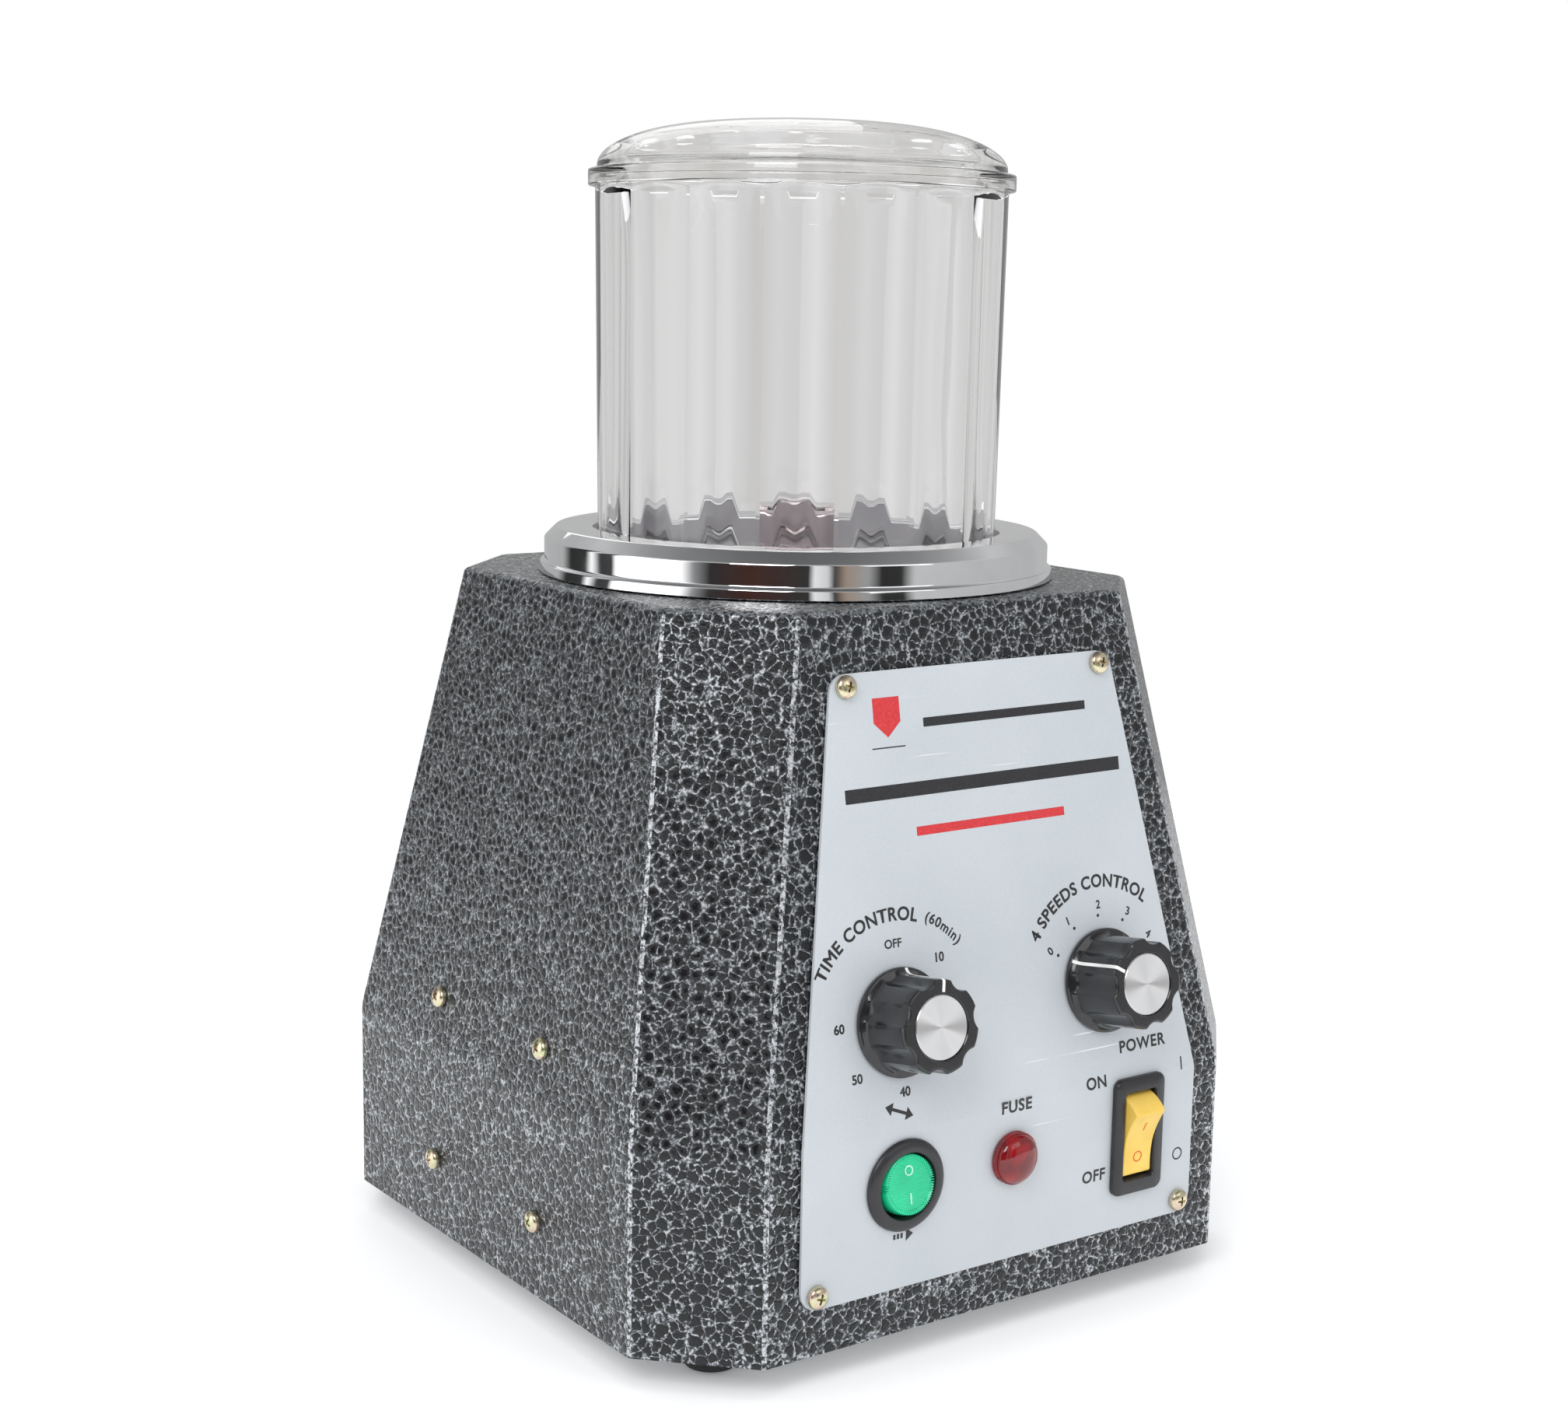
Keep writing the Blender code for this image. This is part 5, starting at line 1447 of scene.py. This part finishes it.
red = clear_red()
rim_low = rest_on_plate
rim_top = rim_low + cap_rim
cap_inside = rim_low + 0.0013
stem_radius = 0.0036
stem_bore = 0.0029
stem_end = cap_inside - 0.0080
stem_floor = cap_inside - 0.0027
cap_profile = []
for k in range(15):
    a = math.pi / 2 * (1 - k / 14)
    reach = (fuse_cap_radius - 0.0004) * math.cos(a) ** 0.9
    cap_profile.append((reach, rim_top + cap_dome * math.sin(a)))
cap_profile[0] = (0, rim_top + cap_dome)
cap_profile += [
    (fuse_cap_radius - 0.00022, rim_top),
    (fuse_cap_radius - 0.00012, rim_top - 0.0002),
    (fuse_cap_radius - 0.00012, rim_low + 0.0002),
    (fuse_cap_radius - 0.00030, rim_low),
    (fuse_cap_radius - 0.0006, rim_low),
    (fuse_cap_radius - 0.0006, cap_inside),
    (stem_radius, cap_inside),
    (stem_radius, stem_end),
    (stem_bore, stem_end),
    (stem_bore, stem_floor),
    (0, stem_floor),
]
cap_mesh = turned("fuse_cap_moulding", cap_profile, 120, fuse_place)
piece("fuse_cap_moulding", cap_mesh, red, "fuse_cap", "red_plastic", "fuse_cap")
knurl_section = [
    (-0.0002, -0.00014),
    (0.00004, -0.00014),
    (0.00012, 0),
    (0.00004, 0.00014),
    (-0.0002, 0.00014),
]
knurl_ends = (0.00015, cap_rim + 0.00025)
knurl_mesh = loft("cap_knurl", [[(x, y, z) for x, y in knurl_section] for z in knurl_ends])
knurl_spot = at(fuse_cap_radius - 0.00014, 0, rim_low - 0.0001)
knurl_places = round_about(90, fuse_place, knurl_spot)
knurls = set_out_copies("fuse_cap_knurls", knurl_mesh, knurl_places, red)
piece("fuse_cap_knurls", knurls, red, "fuse_cap", "red_plastic")
dress(satin_black, "fuse_holder")


def fuse_glass():
    """Drawn glass, very slightly seeded."""
    material, tree, shader = finish_named("fuse_glass")
    where = place_on(tree)
    seeds = noise(tree, where, 700, 2.0)
    look = {
        "Base Color": (0.93, 0.96, 0.96, 1),
        "Transmission Weight": 0.9,
        "IOR": 1.5,
        "Roughness": spread(tree, seeds, 0.3, 0.7, 0.02, 0.07),
    }
    fill(tree, shader, look)
    return material


nickel = plated_steel("bright_nickel", (0.74, 0.72, 0.67), 0.16, 1500)
tube_low, tube_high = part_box("glass_fuse")
fuse_long = tube_high.y - tube_low.y
fuse_round = (tube_high.x - tube_low.x) / 2
fuse_middle = (tube_low + tube_high) / 2
fuse_start = wall((fuse_middle.x, tube_high.y, fuse_middle.z), (0, -1, 0))
glass_profile = [
    (0, 0.0004),
    (fuse_round - 0.0003, 0.0004),
    (fuse_round - 0.0002, 0.0006),
    (fuse_round - 0.0002, fuse_long - 0.0006),
    (fuse_round - 0.0003, fuse_long - 0.0004),
    (0, fuse_long - 0.0004),
]
tube = turned("fuse_tube", glass_profile, 48, fuse_start)
piece("fuse_tube", tube, fuse_glass(), "fuse", "glass", "glass_fuse")
ferrule_length = 0.0055
for name, start in (("fuse_end_inner", 0.0), ("fuse_end_outer", fuse_long - ferrule_length)):
    end = start + ferrule_length
    ferrule = [
        (0, start),
        (fuse_round - 0.0003, start),
        (fuse_round, start + 0.0004),
        (fuse_round, end - 0.0004),
        (fuse_round - 0.0003, end),
        (0, end),
    ]
    piece(name, turned(name, ferrule, 48, fuse_start), nickel, "fuse", "glass")


# ---- Bowl seat ---------------------------------------------------------------------------------------
# A moulded plastic ring, chromed like car trim, that drops into the hole in the housing's top. It has a
# low foot, a plain upright band, a bevel and a flat rim; the bowl stands on the floor inside it.

seat_low, seat_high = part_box("bowl_seat")
seat_inner = 0.0541
seat_foot = (seat_high.x - seat_low.x) / 2
seat_band = 0.0670
seat_top = seat_high.z
seat_floor = top


def chrome_plating():
    """Bright plating over moulded plastic: near mirror, with a very slight waviness and finger haze."""
    material, tree, shader = finish_named("chrome_plating")
    where = place_on(tree)
    haze = noise(tree, where, 70, 3.0, 0.6)
    look = {
        "Base Color": ramp(tree, haze, [(0.3, (0.80, 0.81, 0.83)), (0.7, (0.88, 0.89, 0.90))]),
        "Metallic": 1.0,
        "Roughness": spread(tree, haze, 0.35, 0.75, 0.03, 0.09),
    }
    fill(tree, shader, look)
    wave = noise(tree, where, 120, 1.0)
    relief(tree, shader, wave, 0.05, 0.0004)
    return material


seat_skirt = 0.0561
band_low = top + 0.0030
seat_bevel = 0.0031
seat_corners = [
    (0, seat_floor),
    (seat_inner, seat_floor),
    (seat_inner, seat_top),
    (seat_band - seat_bevel, seat_top),
    (seat_band, seat_top - seat_bevel),
    (seat_band, band_low),
    (seat_foot - 0.0004, band_low),
    (seat_foot, top + 0.0003),
    (seat_skirt, top + 0.0003),
    (seat_skirt, seat_low.z),
    (0, seat_low.z),
]
seat_radii = [0.0006, 0.0008, 0.0010, 0.0010, 0.0008, 0.0006, 0.0002, 0.0002, 0.0003]
seat_profile = [(p.x, p.y) for p in rounded_path(seat_corners, seat_radii, 6)]
seat_mesh = turned("chromed_seat", seat_profile, 192, at(0, axis_y, 0))
chrome = chrome_plating()
piece("chromed_seat", seat_mesh, chrome, "housing", "chrome", "bowl_seat")


def second_finish(mesh, material, chosen):
    """Gives the faces whose middles are chosen another finish."""
    mesh.materials.append(material)
    for polygon in mesh.polygons:
        if chosen(polygon.center):
            polygon.material_index = 1


def in_the_well(spot):
    """The floor that the bowl stands on and the wall round it, which carry a painted reflection."""
    reach = math.hypot(spot.x, spot.y - axis_y)
    return reach < seat_inner + 0.0002 and seat_low.z + 0.001 < spot.z < seat_top - 0.001


# Painted reflection: the well is a pale lavender satin in place of what the chrome there reflects
# through the bowl
painted_reflection_satin = moulded("seat_floor_satin", (0.94, 0.90, 0.98), 0.35, 1800, 0.1)
second_finish(seat_mesh, painted_reflection_satin, in_the_well)


# ---- Bowl and lid ------------------------------------------------------------------------------------
# The bowl is moulded in clear polystyrene: round outside, sixteen flats inside that die out under the
# rim, and a post in its floor that keeps the load in a ring. The lid drops over the rim.

bowl_low, bowl_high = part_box("bowl")
bowl_foot = bowl_low.z
bowl_rim = bowl_high.z
rim_radius = (bowl_high.x - bowl_low.x) / 2
bowl_bore = 0.0485
bowl_floor = bowl_foot + 0.0035
bore_flare = 0.0001
sides = 16
bowl_turn = math.radians(9.5) - math.pi / sides
flat_reach = (bowl_bore + bore_flare) * math.cos(math.pi / sides)
flats_end = bowl_rim - 0.0045
post_radius = 0.0098
post_top = bowl_floor + 0.0150


def clear_moulding(name, tint, rough):
    """Clear plastic with faint flow lines and hairline rubs."""
    material, tree, shader = finish_named(name)
    where = place_on(tree)
    flow = noise(tree, drawn_out(tree, where, 0.12), 70, 2.0)
    look = {
        "Base Color": tint,
        "Transmission Weight": 1.0,
        "IOR": 1.46,
        "Roughness": spread(tree, flow, 0.3, 0.8, rough, rough + 0.05),
    }
    fill(tree, shader, look)
    relief(tree, shader, flow, 0.10, 0.0006)
    return material


def crisp_flats(mesh):
    """Keeps the lines where the flats meet sharp, and leaves the rest of the bowl smooth."""
    made = bmesh.new()
    made.from_mesh(mesh)
    for edge in made.edges:
        one, other = (vertex.co for vertex in edge.verts)
        upright = abs(one.z - other.z) > 0.95 * (one - other).length
        reach = math.hypot(one.x, one.y - axis_y)
        bends = edge.calc_face_angle(0.0) > math.radians(7)
        if upright and bends and 0.046 < reach < bowl_bore + bore_flare:
            edge.smooth = False
    made.to_mesh(mesh)
    made.free()
    return mesh


def bowl_mesh():
    """The bowl as one skin: up its outside, over the rim, down the flats and over the post."""
    half_side = math.pi / sides
    flat_edge = math.acos(flat_reach / bowl_bore)
    offs = [-half_side] + [flat_edge * share for share in (-1, -0.66, -0.33, 0, 0.33, 0.66, 1)]
    marks = [(side, off) for side in range(sides) for off in offs]
    angles = [bowl_turn + half_side + 2 * half_side * side + off for side, off in marks]

    def flat_ring(height):
        """The bore at a height: straight flats, which lean out and die into the round near the rim."""
        past = max(0.0, height - flats_end)
        out = flat_reach + past / 0.0018 * (bowl_bore + bore_flare - flat_reach)
        ring = []
        for a, (_, off) in zip(angles, marks):
            reach = min(bowl_bore, out / math.cos(off))
            ring.append(Vector((reach * math.cos(a), axis_y + reach * math.sin(a), height)))
        return ring

    def round_ring(radius, height):
        return [Vector((radius * math.cos(a), axis_y + radius * math.sin(a), height)) for a in angles]

    stand = rim_radius - 0.0029
    wall_start = stand + 0.0017
    outside = [
        (0.0004, bowl_foot + 0.0006),
        (stand - 0.0016, bowl_foot + 0.0006),
        (stand - 0.0012, bowl_foot),
        (stand - 0.0004, bowl_foot),
        (stand + 0.0006, bowl_foot + 0.0006),
        (stand + 0.0014, bowl_foot + 0.0022),
        (wall_start, bowl_foot + 0.0040),
    ]
    for share in (0.25, 0.5, 0.75, 0.95):
        radius = mix(wall_start, rim_radius, share)
        outside.append((radius, mix(bowl_foot + 0.004, bowl_rim, share)))
    outside += [
        (rim_radius, bowl_rim - 0.0006),
        (rim_radius - 0.0002, bowl_rim - 0.0001),
        (rim_radius - 0.0006, bowl_rim),
        (bowl_bore + 0.0006, bowl_rim),
        (bowl_bore + 0.0002, bowl_rim - 0.0001),
        (bowl_bore, bowl_rim - 0.0005),
    ]
    drops = (0.0020, 0.0027, 0.0031, 0.0035, 0.0039, 0.0042, 0.0045, 0.03, 0.06)
    flats = [bowl_rim - drop for drop in drops] + [bowl_floor + 0.0010]
    inside = [
        (0.0475, bowl_floor + 0.0003),
        (0.0466, bowl_floor),
        (post_radius + 0.0012, bowl_floor),
        (post_radius + 0.0004, bowl_floor + 0.0002),
        (post_radius, bowl_floor + 0.0008),
        (post_radius - 0.0003, post_top - 0.0010),
        (post_radius - 0.0006, post_top - 0.0003),
        (post_radius - 0.0013, post_top),
        (0.0004, post_top),
    ]
    rings = [round_ring(*spot) for spot in outside]
    rings += [flat_ring(height) for height in flats]
    rings += [round_ring(*spot) for spot in inside]
    return crisp_flats(smooth(loft("clear_bowl", rings), 20))


def on_the_post(spot):
    """The post's own faces, above the floor it grows from."""
    return math.hypot(spot.x, spot.y - axis_y) < post_radius + 0.0003 and spot.z > bowl_foot + 0.004


clear = clear_moulding("clear_plastic", (0.975, 0.973, 0.978, 1), 0.0)
lid_clear = clear_moulding("clear_lid_plastic", (0.98, 0.976, 0.97, 1), 0.0)
pink = clear_moulding("post_tint", (0.98, 0.86, 0.87, 1), 0.02)
bowl = bowl_mesh()
piece("clear_bowl", bowl, clear, "bowl", "clear_plastic", "bowl")
second_finish(bowl, pink, on_the_post)

lid_low, lid_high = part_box("lid")
lid_outer = (lid_high.x - lid_low.x) / 2
lid_deck = lid_low.z + 0.0043
lid_wall = 0.0015
dome_radius = 0.0535
plug_radius = bowl_bore - 0.0008


def dome(radius, rise, base, steps=22, stop=1.0):
    """A low dome with a round shoulder, from its middle outwards."""
    points = []
    for i in range(steps + 1):
        share = math.sin(math.pi / 2 * i / steps) * stop
        points.append((radius * share, base + rise * (0.10 + 0.90 * (1 - share**3) ** 0.55)))
    points[0] = (0, points[0][1])
    return points


rise = lid_high.z - lid_deck
outer_dome = dome(dome_radius, rise, lid_deck)
inner_dome = dome(plug_radius - 0.0012, rise - lid_wall, lid_deck, stop=0.995)
lid_profile = [
    *outer_dome,
    (dome_radius, lid_deck + 0.0005),
    (dome_radius + 0.0003, lid_deck + 0.0001),
    (dome_radius + 0.0007, lid_deck),
    (lid_outer - 0.0006, lid_deck),
    (lid_outer - 0.0001, lid_deck - 0.0002),
    (lid_outer, lid_deck - 0.0006),
    (lid_outer, lid_low.z + 0.0004),
    (lid_outer - 0.0002, lid_low.z + 0.0001),
    (lid_outer - 0.0006, lid_low.z),
    (lid_outer - lid_wall + 0.0002, lid_low.z),
    (lid_outer - lid_wall, lid_low.z + 0.0003),
    (lid_outer - lid_wall, bowl_rim + 0.0003),
    (plug_radius, bowl_rim + 0.0003),
    (plug_radius, bowl_rim - 0.0018),
    (plug_radius - 0.0003, bowl_rim - 0.0020),
    (plug_radius - 0.0012, bowl_rim - 0.0020),
    *reversed(inner_dome),
]
lid_mesh = turned("clear_lid", lid_profile, 160, at(0, axis_y, 0))
piece("clear_lid", lid_mesh, lid_clear, "lid", "clear_plastic", "lid")


# ---- Mains inlet -------------------------------------------------------------------------------------
# A black moulded three-pin appliance inlet, snapped into the rear wall from outside. Its flange has
# rounded edges, and three nickelled flat pins stand in the socket.

inlet_mesh = softened("mains_inlet", 0.00035)
inlet_mesh.materials.clear()
inlet_mesh.materials.append(satin_black)


def on_the_pins(spot):
    """The pins' faces, down inside the socket."""
    spot = inlet_place.inverted() @ spot
    return abs(spot.x) < 0.0096 and abs(spot.y) < 0.0064 and -0.0112 < spot.z < -0.0005


second_finish(inlet_mesh, nickel, on_the_pins)
piece("mains_inlet_moulding", inlet_mesh, None, "housing", "black_plastic", "mains_inlet")


# ---- Inside the housing ------------------------------------------------------------------------------
# Under the seat a turned aluminium disc carries four nickel-plated magnets on the motor's shaft. The
# motor hangs from a folded bracket. The timer and the switches fill the front, and the control board
# lies at the rear.

ground = plated_steel("ground_steel", (0.58, 0.58, 0.59), 0.22, 1600)
turned_disc = plated_steel("turned_aluminium", (0.76, 0.76, 0.77), 0.28, 700, 1.0)
ferrite = moulded("ferrite", (0.045, 0.045, 0.050), 0.55, 1400, 0.35)
carbon = moulded("carbon", (0.028, 0.028, 0.028), 0.60, 1600, 0.30)


def windings():
    """Varnished copper wire laid side by side, with painted shade in the grooves between the turns."""
    material, tree, shader = finish_named("copper_windings")
    where = place_on(tree)
    inputs = {"Vector": where, "Scale": 620, "Distortion": 0.6, "Detail": 2.0}
    # The copper runs from dark to bright across each turn: painted shade in the grooves between the
    # turns
    turns = add(tree, "ShaderNodeTexWave", inputs, bands_direction="Z").outputs["Fac"]
    look = {
        "Base Color": ramp(tree, turns, [(0.2, (0.20, 0.07, 0.03)), (0.7, (0.78, 0.36, 0.17))]),
        "Metallic": 0.9,
        "Roughness": 0.30,
    }
    fill(tree, shader, look)
    relief(tree, shader, turns, 0.4, 0.0002)
    return material


def circuit_board():
    """Green solder mask over a woven board, with paler tracks."""
    material, tree, shader = finish_named("circuit_board")
    where = place_on(tree)
    pattern = {
        "Vector": where,
        "Scale": 260,
        "Color1": (0.010, 0.105, 0.045, 1),
        "Color2": (0.014, 0.130, 0.055, 1),
        "Mortar": (0.035, 0.240, 0.110, 1),
    }
    tracks = add(tree, "ShaderNodeTexBrick", pattern).outputs["Color"]
    weave = noise(tree, where, 2400, 2.0)
    look = {
        "Base Color": tracks,
        "Roughness": spread(tree, weave, 0.3, 0.7, 0.30, 0.45),
    }
    fill(tree, shader, look)
    relief(tree, shader, weave, 0.15, 0.0001)
    return material


dress(zinc, "motor_bracket", "motor_can", "motor_end_bell", "timer_body", "timer_nut", "speed_nut")
dress(ground, "rotor_shaft", "bearing_upper", "bearing_lower", "timer_shaft", "speed_shaft")
dress(turned_disc, "magnet_disc")
dress(nickel, "disc_magnet_1", "disc_magnet_2", "disc_magnet_3", "disc_magnet_4")
dress(ferrite, "field_magnet")
dress(carbon, "brush_left", "brush_right")
dress(windings(), "armature", "commutator")
dress(satin_black, "speed_switch_body", "fan")
dress(circuit_board(), "control_board")


# ---- Floor, lights and camera ------------------------------------------------------------------------
# A plain white table under soft lamps: a broad key at the left front, and weaker ones ahead, overhead
# and behind. The camera stands left of the front and looks slightly down.


def white_table():
    """A round matt table top that glows faintly, so that its edge is lost in the white round it."""
    material, tree, shader = finish_named("floor_white")
    look = {
        "Base Color": (0.93, 0.93, 0.93, 1),
        "Emission Color": (1, 1, 1, 1),
        "Emission Strength": 0.14,
        "Roughness": 0.85,
        "Specular IOR Level": 0.1,
    }
    fill(tree, shader, look)
    mesh = flat_shape(disc(0.75, 64))
    mesh.transform(at(0, 0, -0.0004))
    mesh.materials.append(material)
    set_down("floor", mesh)


white_table()

# What bright and clear pieces see: an unlit room, with windows at these bearings in degrees
windows = [
    (-180, 0.50), (-130, 0.45), (-122, 0.03), (-108, 0.04), (-104, 1.2), (-98, 0.05), (-90, 0.06),
    (-86, 1.9), (-54, 1.7), (-46, 0.30), (-38, 0.03), (-20, (0.06, 0.025, 0.02)), (6, 0.04), (8, 0.9),
    (14, 0.7), (17, 0.03), (22, (0.36, 0.28, 0.22)), (32, 0.35), (38, 0.03), (48, 0.03), (54, 0.60),
    (90, 0.52), (180, 0.50),
]
room_turn = math.radians(125.5)

world = bpy.data.worlds.new("studio")
bpy.context.scene.world = world
world.use_nodes = True
tree = world.node_tree
tree.nodes.clear()
ray = add(tree, "ShaderNodeLightPath").outputs
where = add(tree, "ShaderNodeTexCoord").outputs["Generated"]
swung = add(tree, "ShaderNodeMapping", {"Vector": where, "Rotation": (0, 0, room_turn)})
level = add(tree, "ShaderNodeSeparateXYZ", {"Vector": swung.outputs["Vector"]}).outputs
angle = math_of(tree, "ARCTAN2", level["Y"], level["X"])
bearing = spread(tree, angle, -math.pi, math.pi, 0, 1, "LINEAR")
walls = ramp(tree, bearing, [(0.5 + degrees / 360, tone) for degrees, tone in windows])
height = math_of(tree, "ABSOLUTE", level["Z"])
ceiling = ramp(tree, height, [(0.60, 0.60), (0.80, 0.32), (1.0, 0.14)])
room = blend(tree, spread(tree, height, 0.42, 0.66, 0.0, 1.0), walls, ceiling)
# Clear plastic has a light grey wall behind it, uneven round the room, which gives it a body
folds = add(tree, "ShaderNodeCombineXYZ", {"X": angle}).outputs[0]
grey_tones = [(0.36, (0.60, 0.597, 0.58)), (0.64, (0.78, 0.78, 0.785))]
greys = ramp(tree, noise(tree, folds, 6.5, 2.0), grey_tones)


def backdrop(colour, strength=1.0):
    inputs = {"Color": colour, "Strength": strength}
    return add(tree, "ShaderNodeBackground", inputs).outputs[0]


seen = backdrop((0.97, 0.985, 1.0, 1), 0.98)
for kind, colour in (
    ("Is Glossy Ray", room),
    ("Is Transmission Ray", greys),
    ("Is Camera Ray", (1, 1, 1, 1)),
):
    seen = add(tree, "ShaderNodeMixShader", {0: ray[kind], 1: seen, 2: backdrop(colour)}).outputs[0]
add(tree, "ShaderNodeOutputWorld", {"Surface": seen})

aim = Vector((0, axis_y, 0.13))


def bearing_to(azimuth, elevation):
    """A way outwards, in degrees round from the front, towards +X, and up from level."""
    a = math.radians(azimuth)
    e = math.radians(elevation)
    return Vector((math.sin(a) * math.cos(e), -math.cos(a) * math.cos(e), math.sin(e)))


def lamp(name, azimuth, elevation, distance, width, height, power, mirrored=True):
    """A soft box aimed at the machine's middle; mirrored is whether bright pieces reflect it."""
    light = bpy.data.lights.new(name, "AREA")
    light.shape = "RECTANGLE"
    light.size = width
    light.size_y = height
    light.energy = power
    holder = set_down(name, light)
    holder.visible_glossy = mirrored
    way = bearing_to(azimuth, elevation)
    holder.location = aim + way * distance
    holder.rotation_euler = way.to_track_quat("Z", "Y").to_euler()


lamp("key", -52, 36, 1.2, 0.5, 0.5, 4.4)
lamp("front", 12, 26, 1.3, 0.7, 0.5, 1.2)
lamp("top", 0, 84, 1.1, 0.9, 0.9, 1.2, mirrored=False)
lamp("back", 160, 35, 1.3, 0.8, 0.6, 1.2)

camera = bpy.data.cameras.new("camera")
camera.lens = 56.69
camera.sensor_width = 36
camera.clip_start = 0.01
holder = set_down("camera", camera)
roll = math.radians(0.9833)
distance = 0.6669114
target = Vector((-0.0029116, axis_y, 0.1434317))
back = bearing_to(-35.498, 9.7359)
right = (-back).cross(Vector((0, 0, 1))).normalized()
up = right.cross(-back)
right_rolled = right * math.cos(roll) + up * math.sin(roll)
up_rolled = -right * math.sin(roll) + up * math.cos(roll)
axes = Matrix((right_rolled, up_rolled, back)).transposed().to_4x4()
holder.matrix_world = Matrix.Translation(target + back * distance) @ axes
bpy.context.scene.camera = holder
bpy.context.scene.view_settings.view_transform = "Standard"
